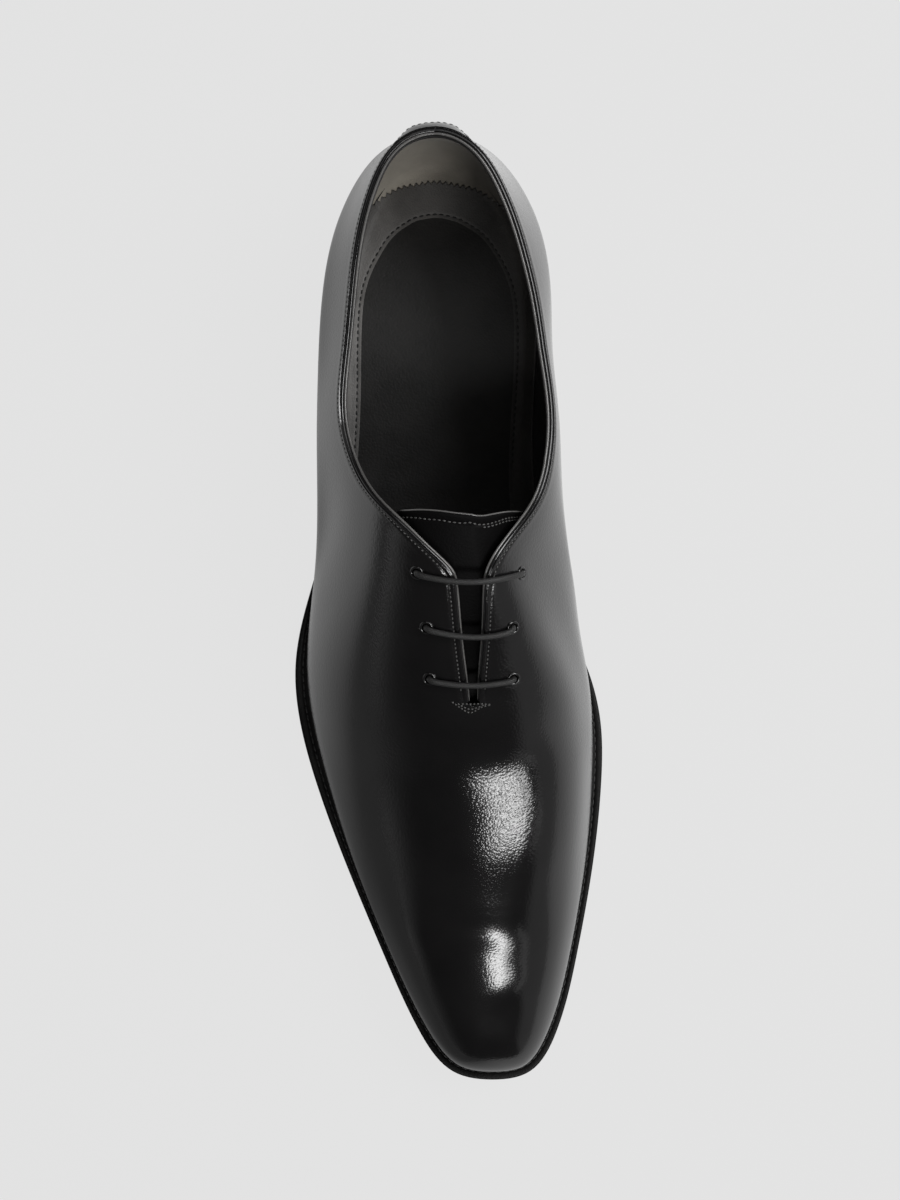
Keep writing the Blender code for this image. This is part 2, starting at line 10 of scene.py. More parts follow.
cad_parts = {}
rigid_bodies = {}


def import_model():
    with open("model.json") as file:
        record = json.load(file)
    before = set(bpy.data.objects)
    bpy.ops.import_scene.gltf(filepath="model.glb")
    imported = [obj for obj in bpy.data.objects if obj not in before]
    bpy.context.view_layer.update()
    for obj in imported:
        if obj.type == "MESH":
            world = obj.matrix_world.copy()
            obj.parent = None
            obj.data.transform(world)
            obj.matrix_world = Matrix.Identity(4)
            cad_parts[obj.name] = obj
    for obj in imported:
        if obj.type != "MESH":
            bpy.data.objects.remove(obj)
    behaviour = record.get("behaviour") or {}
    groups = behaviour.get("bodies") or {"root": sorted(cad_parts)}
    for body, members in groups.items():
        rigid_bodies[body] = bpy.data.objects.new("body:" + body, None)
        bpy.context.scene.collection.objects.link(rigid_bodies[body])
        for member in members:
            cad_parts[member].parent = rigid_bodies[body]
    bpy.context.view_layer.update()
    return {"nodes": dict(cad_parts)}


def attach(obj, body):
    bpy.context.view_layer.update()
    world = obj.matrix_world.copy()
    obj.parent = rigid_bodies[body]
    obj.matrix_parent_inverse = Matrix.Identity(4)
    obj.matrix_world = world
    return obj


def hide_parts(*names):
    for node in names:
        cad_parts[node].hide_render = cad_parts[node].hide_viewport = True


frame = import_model()
mm = 0.001
sides = {"lateral": -1, "medial": 1}
print("frame in:", len(frame["nodes"]), "solids")

# the last, as in the part's source: millimetres, stations are shares of the length from the toe
shoe = {
    "length": 312.0, "originStation": 0.498, "ballWidth": 105.0,
    "heelHeight": 25.5, "toeSpring": 9.5, "springPower": 1.8,
    "ballStart": 0.27, "ballEnd": 0.385, "seatStart": 0.90, "breast": 0.769,
    "outsole": 5.0, "welt": 2.8, "wall": 2.2, "gap": 0.3,
    "topPiece": 6.0, "heelTaper": 1.4, "toePivot": 24.0, "heelPivot": 36.0, "throatEnd": 0.4215,
    "collarStart": 26.0, "collarBlend": 26.0,
    "bulgeTail": 1.2, "bulgeTurn": 0.1, "bulgeFade": 6,
    "straight": (0.2, 0.50, 0.12),  # quarters: least height over the bulge, station, length of the change
    "medialInstep": (0.47, 0.075, 0.5),  # station, half length, how much fuller
    "crown": (0.30, 0.10, 12.0, 0.08),  # station, half length, swing, how far before the throat it fades
}
edge = {  # sole edge seen from above: station, then lateral and medial as shares of the ball width
    "tip": (0.003, 0.140), "back": (0.991, -0.035),
    "rows": [(0.0115, 0.014, 0.262), (0.056, -0.099, 0.353), (0.133, -0.2095, 0.417), (0.237, -0.341, 0.474),
             (0.325, -0.436, 0.500), (0.394, -0.4886, 0.495), (0.448, -0.500, 0.452), (0.500, -0.475, 0.380),
             (0.564, -0.419, 0.303), (0.644, -0.371, 0.264), (0.740, -0.353, 0.276), (0.8365, -0.346, 0.279),
             (0.920, -0.287, 0.216), (0.973, -0.187, 0.106)],
}
margin = {  # welt outside the upper, and the bevel under the sole's edge
    "names": ("lateral", "medial", "bevel"),
    "rows": [(0.00, 4.8, 4.8, 1.2), (0.12, 3.8, 4.0, 1.2), (0.24, 4.0, 4.2, 1.2), (0.40, 5.6, 4.6, 1.4),
             (0.50, 4.2, 3.0, 3.0), (0.62, 2.0, 1.6, 4.2), (0.75, 2.2, 2.0, 2.4), (1.00, 2.6, 2.6, 1.2)],
}
last = {  # ridge line, fullness of the section, bulge of each wall with its height
    "names": ("ridgeX", "ridgeZ", "flat", "square",
              "bulgeLateral", "levelLateral", "bulgeMedial", "levelMedial"),
    "rows": [(0.00, 14.7, 33.0, 3.0, 2.6, 1.0, 7.0, 1.0, 7.0),
             (0.10, 14.2, 40.0, 2.9, 2.5, 1.0, 7.0, 1.0, 7.0),
             (0.20, 12.4, 47.0, 2.6, 2.2, 1.0, 8.0, 1.0, 8.0),
             (0.30, 10.2, 56.8, 2.4, 2.0, 1.0, 9.0, 1.0, 9.0),
             (0.40, 8.0, 70.5, 2.3, 1.9, 1.0, 11.0, 1.6, 12.0),
             (0.48, 7.0, 83.5, 2.3, 1.9, 1.2, 14.0, 5.0, 18.0),
             (0.545, 6.5, 94.5, 2.3, 2.0, 2.8, 17.0, 9.8, 27.0),
             (0.62, 4.5, 104.0, 2.4, 2.2, 5.3, 21.0, 11.2, 43.0),
             (0.70, 1.5, 110.0, 2.5, 2.4, 7.2, 24.0, 10.2, 54.0),
             (0.77, -0.8, 112.5, 2.3, 2.2, 7.3, 20.0, 6.8, 42.0),
             (0.83, -2.8, 116.0, 1.9, 2.1, 6.8, 19.0, 6.4, 29.0),
             (0.90, -3.4, 125.0, 1.9, 2.0, 6.5, 20.0, 6.7, 23.0),
             (1.00, -3.7, 148.0, 2.2, 2.0, 3.8, 20.0, 3.8, 20.0)],
}
collar = {  # height of the collar's edge
    "names": ("lateral", "medial"),
    "rows": [(0.57, 97.0, 95.0), (0.60, 90.0, 89.0), (0.63, 85.8, 84.6), (0.66, 81.6, 81.8),
             (0.70, 78.4, 80.3), (0.77, 78.8, 81.0), (0.84, 81.8, 83.2), (0.92, 87.0, 87.8), (0.985, 91.0, 91.0),
             (1.05, 92.0, 92.0)],
}
throat = {  # distance of the throat's edges from the ridge
    "names": ("lateral", "medial"),
    "rows": [(0.4245, 1.9, 1.9), (0.442, 2.4, 2.4), (0.500, 4.1, 4.1), (0.535, 4.9, 4.9), (0.5465, 5.8, 5.8),
             (0.5577, 8.8, 7.6), (0.580, 15.8, 13.0), (0.615, 24.6, 22.3), (0.647, 31.0, 27.5),
             (0.70, 36.0, 33.0)],
}


def bendOf(knots, values):
    # natural cubic: its second derivatives at the knots
    step = np.diff(knots)
    slope = np.diff(values) / step
    matrix = np.eye(len(knots))
    right = np.zeros(len(knots))
    for i in range(1, len(knots) - 1):
        matrix[i, i - 1:i + 2] = step[i - 1], 2 * (step[i - 1] + step[i]), step[i]
        right[i] = 6 * (slope[i] - slope[i - 1])
    return np.linalg.solve(matrix, right)


def at(table, name, station):
    # value of a table's column at a station, level beyond its ends
    if name not in table:
        grid = np.array(table["rows"], float).T
        values = grid[1 + table["names"].index(name)]
        table[name] = grid[0], values, bendOf(grid[0], values)
    knots, values, bend = table[name]
    x = np.clip(station, knots[0], knots[-1])
    i = np.clip(np.searchsorted(knots, x) - 1, 0, len(knots) - 2)
    step = knots[i + 1] - knots[i]
    low, high = (knots[i + 1] - x) / step, (x - knots[i]) / step
    curve = (low**3 - low) * bend[i] + (high**3 - high) * bend[i + 1]
    return low * values[i] + high * values[i + 1] + curve * step**2 / 6


def along(station):
    return shoe["length"] * (np.asarray(station, float) - shoe["originStation"])


def stationOf(y):
    return np.asarray(y, float) / shoe["length"] + shoe["originStation"]


def ease(share):
    share = np.clip(share, 0, 1)
    return share * share * (3 - 2 * share)


def hill(distance, width):
    return np.exp(-(np.asarray(distance) / width) ** 2)


def underside(y):
    station = stationOf(y)
    spring = np.clip((shoe["ballStart"] - station) / shoe["ballStart"], 0, 1) ** shoe["springPower"]
    rise = ease((station - shoe["ballEnd"]) / (shoe["seatStart"] - shoe["ballEnd"]))
    return shoe["toeSpring"] * spring + shoe["heelHeight"] * rise


def featherZ(y):
    return underside(y) + shoe["outsole"] + shoe["welt"] + 2 * shoe["gap"]


def closedSpline(points, count):
    points = np.array(points, float)
    size = len(points)
    step = np.linalg.norm(np.roll(points, -1, 0) - points, axis=1)
    matrix = np.zeros((size, size))
    right = np.zeros((size, 2))
    for i in range(size):
        before, after = (i - 1) % size, (i + 1) % size
        matrix[i, before] += step[before]
        matrix[i, i] += 2 * (step[before] + step[i])
        matrix[i, after] += step[i]
        right[i] = 6 * ((points[after] - points[i]) / step[i] - (points[i] - points[before]) / step[before])
    bend = np.linalg.solve(matrix, right)
    knots = np.concatenate([[0], np.cumsum(step)])
    run = np.linspace(0, knots[-1], count, endpoint=False)
    i = np.searchsorted(knots, run, side="right") - 1
    after = (i + 1) % size
    low = ((knots[i + 1] - run) / step[i])[:, None]
    high = ((run - knots[i]) / step[i])[:, None]
    curve = (low**3 - low) * bend[i] + (high**3 - high) * bend[after]
    return low * points[i] + high * points[after] + curve * step[i][:, None]**2 / 6


def soleEdge(count=720):
    stations, lateral, medial = np.array(edge["rows"], float).T
    rows = along(stations)
    wide = shoe["ballWidth"]
    tip = (wide * edge["tip"][1], along(edge["tip"][0]))
    back = (wide * edge["back"][1], along(edge["back"][0]))
    left = np.column_stack([wide * lateral, rows])
    right = np.column_stack([wide * medial, rows])
    return closedSpline([tip, *left, back, *right[::-1]], count)


def movedIn(outline, amount):
    tangent = np.roll(outline, -1, 0) - np.roll(outline, 1, 0)
    normal = np.column_stack([tangent[:, 1], -tangent[:, 0]])
    normal /= np.linalg.norm(normal, axis=1)[:, None]
    inward = np.sign(np.sum((outline.mean(0) - outline) * normal))
    return outline + inward * normal * np.broadcast_to(amount, len(outline))[:, None]


def weltMargin(outline, softening=20):
    station = stationOf(outline[:, 1])
    lateral = np.arange(len(outline)) < np.argmax(outline[:, 1])
    wide = np.where(lateral, at(margin, "lateral", station), at(margin, "medial", station))
    for _ in range(softening):
        wide = (np.roll(wide, 1) + wide + np.roll(wide, -1)) / 3
    return wide


def halves(outline):
    outline = np.roll(outline, -np.argmin(outline[:, 1]), 0)
    back = np.argmax(outline[:, 1])
    return {"lateral": outline[:back + 1], "medial": np.vstack([outline[back:], outline[:1]])[::-1]}


def runOf(line):
    return np.concatenate([[0], np.cumsum(np.linalg.norm(np.diff(line, axis=0), axis=1))])


def byRun(line, places):
    run = runOf(line)
    return np.column_stack([np.interp(places, run, axis) for axis in line.T])


def byShare(line, shares):
    return byRun(line, np.asarray(shares) * runOf(line)[-1])


edgeLine = soleEdge()
weltWide = weltMargin(edgeLine)
feather = movedIn(edgeLine, weltWide)
featherHalf = halves(feather)
toeY, heelY = feather[:, 1].min(), feather[:, 1].max()


def spine(shares):
    y = np.mean([byShare(featherHalf[side], shares)[:, 1] for side in sides], axis=0)
    toe = np.clip((toeY + 2 * shoe["toePivot"] - y) / (2 * shoe["toePivot"]), 0, 1)
    heel = np.clip((y - heelY + 2 * shoe["heelPivot"]) / (2 * shoe["heelPivot"]), 0, 1)
    y = y + shoe["toePivot"] * toe**2 - shoe["heelPivot"] * heel**2
    middle, wide, aside, fade = shoe["crown"]  # ahead of the throat the crown swings to the medial side
    station = stationOf(y)
    aside = aside * hill(station - middle, wide) * ease((shoe["throatEnd"] - station) / fade)
    return np.column_stack([at(last, "ridgeX", station) + aside, y])


def wallSection(base, top, side, count=260):
    station = stationOf(base[1])
    bulge = at(last, "bulge" + side.title(), station)
    level = at(last, "level" + side.title(), station)
    turn = np.linspace(0, math.pi / 2, count)
    middle, wide, full = shoe["medialInstep"]  # the instep is fuller on the medial side
    fuller = full * math.exp(-((station - middle) / wide) ** 4) if side == "medial" else 0.0
    reach = np.maximum(np.cos(turn), 0) ** (2 / (at(last, "flat", station) + fuller))
    rise = np.sin(turn) ** (2 / (at(last, "square", station) + fuller))
    plan = top + (base - top) * reach[:, None]
    foot = featherZ(base[1])
    z = foot + (at(last, "ridgeZ", stationOf(plan[:, 1])) - foot) * rise
    height = (z - foot) / level
    tail = hill(height - 1, shoe["bulgeTail"])
    edgeHeight = (at(collar, side, station) - foot) / level - 1
    least, start, change = shoe["straight"]
    if edgeHeight > least:  # over the bulge the quarters run straight up to the collar
        over = np.maximum(height - 1, 0)
        straight = np.exp(-over**2 / (over + shoe["bulgeTurn"]) * edgeHeight / shoe["bulgeTail"]**2)
        tail = tail + (straight - tail) * ease((station - start) / change)
    hump = np.where(height < 1, height * np.exp(1 - height), tail)
    outward = (base - top) / np.linalg.norm(base - top)
    plan = plan + outward * (bulge * hump * (1 - rise ** shoe["bulgeFade"]))[:, None]
    return np.column_stack([plan, z])


def lastCrossing(values, limits):
    over = np.nonzero(values > limits)[0]
    if len(over) == 0:
        return float(np.argmax(values))
    i = min(over[-1], len(values) - 2)
    before, after = values[i] - limits[i], values[i + 1] - limits[i + 1]
    return i + before / (before - after)


def openingIndex(points, side, spineY):
    if stationOf(spineY) <= shoe["throatEnd"]:
        return len(points) - 1
    station = stationOf(points[:, 1])
    spread = np.abs(points[:, 0] - at(last, "ridgeX", station))
    slit = lastCrossing(spread, at(throat, side, station))
    top = lastCrossing(at(collar, side, station) - points[:, 2], np.zeros(len(points)))
    share = ease((spineY - shoe["collarStart"]) / shoe["collarBlend"])
    return (1 - share) * slit + share * top


def columns(side, shares, openTop=True):
    # lines up the last from the feather to its ridge, or to the opening's edge
    made = []
    for base, top in zip(byShare(featherHalf[side], shares), spine(shares)):
        points = wallSection(base, top, side)
        if openTop:
            index = openingIndex(points, side, top[1])
            whole = int(index)
            if whole < len(points) - 1:
                end = points[whole] + (points[whole + 1] - points[whole]) * (index - whole)
                points = np.vstack([points[:whole + 1], end])
        made.append(points)
    return made


def columnShares(vamp, slit, quarters):
    dense = np.linspace(0, 1, 400)
    ridgeY = spine(dense)[:, 1]
    low = np.interp(along(shoe["throatEnd"]), ridgeY, dense)
    high = np.interp(shoe["collarStart"] + shoe["collarBlend"], ridgeY, dense)
    return np.concatenate([np.linspace(0, low, vamp + 1), np.linspace(low, high, slit + 1)[1:],
                           np.linspace(high, 1, quarters + 1)[1:]])


def roundTheBack(rows):
    # lateral columns and then the medial ones back again, as one sheet
    return np.concatenate([rows["lateral"], rows["medial"][-2::-1]], axis=0)


def gridNormals(points, sign):
    run = np.gradient(points, axis=0)
    rise = np.gradient(points, axis=1)
    normal = sign * np.cross(run, rise)
    length = np.linalg.norm(normal, axis=2, keepdims=True)
    return np.where(length > 1e-9, normal / np.maximum(length, 1e-9), (0, 0, 1))


# small mesh helpers, all from bmesh operators
def gridSheet(bm, points):
    # create_grid laid over rows of points in millimetres
    wide, high = points.shape[0] - 1, points.shape[1] - 1
    if not bm.loops.layers.uv:
        bm.loops.layers.uv.new("UVMap")
    made = bmesh.ops.create_grid(bm, x_segments=wide, y_segments=high, size=0.5, calc_uvs=True)
    for vert in made["verts"]:
        i, j = round((vert.co.x + 0.5) * wide), round((vert.co.y + 0.5) * high)
        vert.co = Vector(points[i, j]) * mm
    return made["verts"]


def pieceFrom(bm, name, materials, replaced=(), merge=0.01, outward=True, sharp=None):
    if merge:
        bmesh.ops.remove_doubles(bm, verts=bm.verts, dist=merge * mm)
    if outward:
        bmesh.ops.recalc_face_normals(bm, faces=bm.faces)
    mesh = bpy.data.meshes.new(name)
    bm.to_mesh(mesh)
    bm.free()
    mesh.shade_smooth()
    if sharp:
        mesh.set_sharp_from_angle(angle=math.radians(sharp))
    for material in materials:
        mesh.materials.append(material)
    piece = bpy.data.objects.new(name, mesh)
    bpy.context.scene.collection.objects.link(piece)
    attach(piece, "root")
    if replaced:
        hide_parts(*replaced)
    return piece


def bakeModifiers(piece):
    # the modifiers' result becomes the piece's own mesh
    graph = bpy.context.evaluated_depsgraph_get()
    made = bpy.data.meshes.new_from_object(piece.evaluated_get(graph))
    piece.modifiers.clear()
    piece.data = made
    return piece


def thicken(piece, amount, inner=0, rim=0):
    # a wall of this thickness, behind the sheet's face
    solid = piece.modifiers.new("thickness", "SOLIDIFY")
    solid.thickness = amount * mm
    solid.offset = -1
    solid.use_even_offset = True
    solid.material_offset = inner
    solid.material_offset_rim = rim
    return bakeModifiers(piece)


def roundEdges(piece, width, segments, angle=60):
    # bevel of the edges sharper than the angle
    bm = bmesh.new()
    bm.from_mesh(piece.data)
    picked = [e for e in bm.edges if len(e.link_faces) == 2 and e.calc_face_angle(0) > math.radians(angle)]
    bmesh.ops.bevel(bm, geom=picked, offset=width * mm, affect="EDGES", segments=segments, profile=0.5,
                    material=-1, clamp_overlap=True)
    bm.to_mesh(piece.data)
    bm.free()
    piece.data.shade_smooth()
    return piece


def pathFrames(path):
    # tangent and two carried normals along a line
    tangent = np.gradient(path, axis=0)
    tangent /= np.linalg.norm(tangent, axis=1)[:, None]
    normal = np.cross(tangent[0], (0.3, 0.2, 0.93))  # any way that no line here starts along
    frames = []
    for t in tangent:
        normal = normal - t * normal.dot(t)
        normal = normal / np.linalg.norm(normal)
        frames.append((t, normal, np.cross(t, normal)))
    return frames


def closeSheet(bm, verts, merge):
    # seam merged and open ends filled
    bmesh.ops.remove_doubles(bm, verts=verts, dist=merge * mm)
    openEdges = [e for e in bm.edges if e.is_boundary]
    if openEdges:
        bmesh.ops.holes_fill(bm, edges=openEdges, sides=0)


def tubeSheet(bm, path, radius, around, relief=None):
    # round cord along a line, with its seam merged and its ends closed
    turns = np.linspace(0, 2 * math.pi, around + 1)
    run = runOf(path)
    rows = []
    for point, (t, a, b), s in zip(path, pathFrames(path), run):
        swell = radius if relief is None else radius + relief(turns, s)
        rows.append(point + (np.cos(turns) * swell)[:, None] * a + (np.sin(turns) * swell)[:, None] * b)
    closeSheet(bm, gridSheet(bm, np.array(rows)), 0.001)


def sew(bm, path, normals, thread):
    # a row of stitches along a line, each a small rounded thread
    run = runOf(path)
    count = int(run[-1] / thread["pitch"])
    start = (run[-1] - count * thread["pitch"]) / 2
    step = 0.2  # to each side of a stitch, for its direction
    for k in range(count):
        s = start + (k + 0.5) * thread["pitch"]
        place, ahead, behind = byRun(path, np.array((s, s + step, s - step)))
        n = Vector([np.interp(s, run, axis) for axis in normals.T]).normalized()
        t = Vector(ahead - behind).normalized()
        if thread.get("slant"):
            t = Matrix.Rotation(math.radians(thread["slant"]), 3, n) @ t
        across = n.cross(t).normalized()
        middle = Vector(place) + n * thread["lift"]
        matrix = Matrix((across * thread["wide"] / 2, n * thread["high"] / 2, t * thread["long"] / 2))
        matrix = (matrix.transposed() * mm).to_4x4()
        matrix.translation = middle * mm
        bmesh.ops.create_uvsphere(bm, u_segments=8, v_segments=6, radius=1, matrix=matrix)


def smoothRoute(points, spacing, perSpan=12):
    # an even line of points through the given ones
    points = np.array(points, float)
    before = np.vstack([2 * points[0] - points[1], points[:-1]])
    after = np.vstack([points[1:], 2 * points[-1] - points[-2]])
    slope = (after - before) / 2
    dense = []
    for i in range(len(points) - 1):
        for t in np.linspace(0, 1, perSpan, endpoint=False):
            dense.append((2 * t**3 - 3 * t**2 + 1) * points[i] + (t**3 - 2 * t**2 + t) * slope[i]
                         + (3 * t**2 - 2 * t**3) * points[i + 1] + (t**3 - t**2) * slope[i + 1])
    dense = np.vstack([dense, points[-1:]])
    return byShare(dense, np.linspace(0, 1, int(runOf(dense)[-1] / spacing) + 1))


# camera first: straight down over the shoe, as the photograph was taken
cameraSetup = {"place": (0.0005, 0.0076, 0.580), "lens": 50, "sensor": 36, "near": 0.01}
cameraData = bpy.data.cameras.new("camera")
cameraData.lens = cameraSetup["lens"]
cameraData.sensor_width = cameraSetup["sensor"]
cameraData.clip_start = cameraSetup["near"]
camera = bpy.data.objects.new("camera", cameraData)
camera.location = cameraSetup["place"]
bpy.context.scene.collection.objects.link(camera)
bpy.context.scene.camera = camera
print("camera set")


# shader groups that several finishes share
def newGroup(name, inputs, outputs):
    group = bpy.data.node_groups.new(name, "ShaderNodeTree")
    for label, default in inputs.items():
        socket = group.interface.new_socket(name=label, in_out="INPUT", socket_type="NodeSocketFloat")
        socket.default_value = default
    for label, kind in outputs.items():
        group.interface.new_socket(name=label, in_out="OUTPUT", socket_type=kind)
    return group, group.nodes.new("NodeGroupInput"), group.nodes.new("NodeGroupOutput")


def addNode(tree, kind, **values):
    node = tree.nodes.new(kind)
    for name, value in values.items():
        setattr(node, name, value)
    return node


def mathNode(tree, operation, first, second=None, third=None):
    node = addNode(tree, "ShaderNodeMath", operation=operation)
    for i, value in enumerate((first, second, third)):
        if value is None:
            continue
        if isinstance(value, (int, float)):
            node.inputs[i].default_value = value
        else:
            tree.links.new(value, node.inputs[i])
    return node.outputs[0]


def noiseNode(tree, vector, scale, detail=2.0, rough=0.5):
    node = addNode(tree, "ShaderNodeTexNoise")
    tree.links.new(vector, node.inputs["Vector"])
    if isinstance(scale, (int, float)):
        node.inputs["Scale"].default_value = scale
    else:
        tree.links.new(scale, node.inputs["Scale"])
    node.inputs["Detail"].default_value = detail
    node.inputs["Roughness"].default_value = rough
    return node.outputs["Fac"]


def rampNode(tree, value, stops):
    node = addNode(tree, "ShaderNodeValToRGB")
    tree.links.new(value, node.inputs["Fac"])
    ramp = node.color_ramp
    while len(ramp.elements) < len(stops):
        ramp.elements.new(0.5)
    for element, (place, shade) in zip(ramp.elements, stops):
        element.position = place
        element.color = (*shade, 1) if hasattr(shade, "__len__") else (shade, shade, shade, 1)
    return node.outputs["Color"]


def mapRange(tree, value, low, high, first, second):
    node = addNode(tree, "ShaderNodeMapRange")
    tree.links.new(value, node.inputs["Value"])
    for i, number in enumerate((low, high, first, second), start=1):
        node.inputs[i].default_value = number
    return node.outputs["Result"]


def axesOf(tree, coords):
    split = addNode(tree, "ShaderNodeSeparateXYZ")
    tree.links.new(addNode(tree, "ShaderNodeTexCoord").outputs[coords], split.inputs[0])
    return split.outputs


def buildGrainGroup():
    # hide grain: small pebbles, finer pores and a slow mottle, all on object coordinates
    group, into, out = newGroup("hideGrain", {"Pebble": 2200.0, "Pore": 5200.0, "Mottle": 42.0},
                                {"Height": "NodeSocketFloat", "Mottle": "NodeSocketFloat"})
    coords = addNode(group, "ShaderNodeTexCoord").outputs["Object"]
    cells = addNode(group, "ShaderNodeTexVoronoi", feature="SMOOTH_F1")
    cells.inputs["Smoothness"].default_value = 0.4
    group.links.new(coords, cells.inputs["Vector"])
    group.links.new(into.outputs["Pebble"], cells.inputs["Scale"])
    pores = noiseNode(group, coords, into.outputs["Pore"], 2.0, 0.6)
    slow = noiseNode(group, coords, into.outputs["Mottle"], 4.0, 0.55)
    height = mathNode(group, "MULTIPLY_ADD", cells.outputs["Distance"], -1.0, 1.0)
    height = mathNode(group, "MULTIPLY_ADD", pores, 0.3, height)
    group.links.new(height, out.inputs["Height"])
    group.links.new(slow, out.inputs["Mottle"])
    return group


def buildTwistGroup():
    # braided yarn on the piece's own UV, running both ways round the cord
    group, into, out = newGroup("yarnTwist", {"Along": 160.0, "Around": 8.0},
                                {"Height": "NodeSocketFloat", "Fleck": "NodeSocketFloat"})
    axes = axesOf(group, "UV")
    runTurns = mathNode(group, "MULTIPLY", axes["X"], into.outputs["Along"])
    wrap = mathNode(group, "MULTIPLY", axes["Y"], into.outputs["Around"])
    yarns = []
    for way in ("ADD", "SUBTRACT"):
        turns = mathNode(group, "MULTIPLY", mathNode(group, way, runTurns, wrap), 2 * math.pi)
        yarns.append(mathNode(group, "SINE", turns))
    height = mathNode(group, "MAXIMUM", *yarns)
    objectCoords = addNode(group, "ShaderNodeTexCoord").outputs["Object"]
    fleck = noiseNode(group, objectCoords, 3800.0, 2.0, 0.7)
    group.links.new(height, out.inputs["Height"])
    group.links.new(fleck, out.inputs["Fleck"])
    return group


hideGrain = buildGrainGroup()
yarnTwist = buildTwistGroup()


def newFinish(name):
    material = bpy.data.materials.new(name)
    material.use_nodes = True
    return material, material.node_tree, material.node_tree.nodes["Principled BSDF"]


def bumpInto(tree, shader, height, distance):
    bump = addNode(tree, "ShaderNodeBump")
    bump.inputs["Strength"].default_value = 1.0
    bump.inputs["Distance"].default_value = distance * mm
    tree.links.new(height, bump.inputs["Height"])
    tree.links.new(bump.outputs["Normal"], shader.inputs["Normal"])


def leatherFinish(name, look):
    # one recipe for the hides: colour and roughness wander with the mottle, grain lifts the surface
    material, tree, shader = newFinish(name)
    grain = addNode(tree, "ShaderNodeGroup", node_tree=hideGrain)
    for label in ("Pebble", "Pore", "Mottle"):
        grain.inputs[label].default_value = look[label.lower()]
    colour = rampNode(tree, grain.outputs["Mottle"], [(0.30, look["dark"]), (0.72, look["light"])])
    if "sideShade" in look:  # painted shade: the colour is paler to the lateral side and darker to the medial side, where the medial wall shades the inside
        paler = addNode(tree, "ShaderNodeVectorMath", operation="SCALE")
        near, far, first, second = look["sideShade"]
        shadeAcross = mapRange(tree, axesOf(tree, "Object")["X"], near * mm, far * mm, first, second)
        tree.links.new(shadeAcross, paler.inputs["Scale"])
        tree.links.new(colour, paler.inputs[0])
        colour = paler.outputs[0]
    tree.links.new(colour, shader.inputs["Base Color"])
    rough = mapRange(tree, grain.outputs["Mottle"], 0.3, 0.7, *look["rough"])
    tree.links.new(rough, shader.inputs["Roughness"])
    height = grain.outputs["Height"]
    if "polished" in look:  # the polished toe keeps less of its grain
        near, far, least = look["polished"]
        kept = mapRange(tree, axesOf(tree, "Object")["Y"], near * mm, far * mm, least, 1.0)
        height = mathNode(tree, "MULTIPLY", height, kept)
    bumpInto(tree, shader, height, look["depth"])
    shader.inputs["Coat Weight"].default_value = look.get("coat", 0.0)
    shader.inputs["Coat Roughness"].default_value = look.get("coatRough", 0.1)
    shader.inputs["Specular IOR Level"].default_value = look.get("specular", 0.5)
    shader.inputs["Sheen Weight"].default_value = look.get("sheen", 0.0)
    return material


calfLook = {"pebble": 1400.0, "pore": 2600.0, "mottle": 38.0, "dark": (0.0040, 0.0038, 0.0040),
            "light": (0.0075, 0.0070, 0.0072), "rough": (0.07, 0.10), "depth": 0.050,
            "polished": (-94.0, -78.0, 0.5), "coat": 0.3, "coatRough": 0.22}
edgeCalfLook = dict(calfLook, rough=(0.08, 0.12), depth=0.012, specular=0.8, coat=0.0)
# pale grey piping colour: a painted highlight on the collar bead and the tongue's rim
paleHighlightLook = dict(calfLook, dark=(0.070, 0.068, 0.066), light=(0.130, 0.127, 0.123), rough=(0.22, 0.32),
                  depth=0.01, specular=0.8, coat=0.0)
tongueLook = dict(calfLook, dark=(0.0020, 0.0019, 0.0020), light=(0.0040, 0.0038, 0.0039), rough=(0.46, 0.58),
                  depth=0.05, specular=0.06, coat=0.0)
liningLook = {"pebble": 1500.0, "pore": 4200.0, "mottle": 60.0, "dark": (0.008, 0.0077, 0.0077),
              "light": (0.015, 0.0142, 0.014), "rough": (0.48, 0.62), "depth": 0.05}
sockLook = {"pebble": 1300.0, "pore": 3600.0, "mottle": 55.0, "dark": (0.009, 0.0087, 0.0085),
            "light": (0.017, 0.0163, 0.0158), "rough": (0.46, 0.62), "depth": 0.07, "specular": 0.35}
# the border and the suede carry painted side shade: paler to the lateral side, darker to the medial side
borderLook = dict(sockLook, dark=(0.052, 0.0505, 0.049), light=(0.098, 0.095, 0.092), pebble=1700.0,
                  depth=0.09, sideShade=(-22.0, 14.0, 2.0, 0.5))
suedeLook = {"pebble": 2600.0, "pore": 6000.0, "mottle": 70.0, "dark": (0.215, 0.199, 0.172),
             "light": (0.320, 0.298, 0.260), "rough": (0.85, 0.95), "depth": 0.06, "sheen": 0.2,
             "specular": 0.1, "sideShade": (-17.0, 9.0, 1.75, 0.28)}
weltLook = {"pebble": 1700.0, "pore": 4000.0, "mottle": 90.0, "dark": (0.0025, 0.0023, 0.0023),
            "light": (0.0060, 0.0056, 0.0054), "rough": (0.40, 0.54), "depth": 0.05, "specular": 0.2}
soleEdgeLook = {"pebble": 1500.0, "pore": 3200.0, "mottle": 80.0, "dark": (0.006, 0.0056, 0.0054),
                "light": (0.013, 0.012, 0.0115), "rough": (0.24, 0.36), "depth": 0.03, "coat": 0.4,
                "coatRough": 0.16}
soleFaceLook = {"pebble": 900.0, "pore": 2600.0, "mottle": 34.0, "dark": (0.010, 0.0092, 0.0086),
                "light": (0.026, 0.0235, 0.0215), "rough": (0.34, 0.55), "depth": 0.05}
heelLook = {"pebble": 1300.0, "pore": 3000.0, "mottle": 60.0, "dark": (0.006, 0.0055, 0.0052),
            "light": (0.014, 0.0128, 0.012), "rough": (0.22, 0.36), "depth": 0.035, "coat": 0.5,
            "coatRough": 0.14}
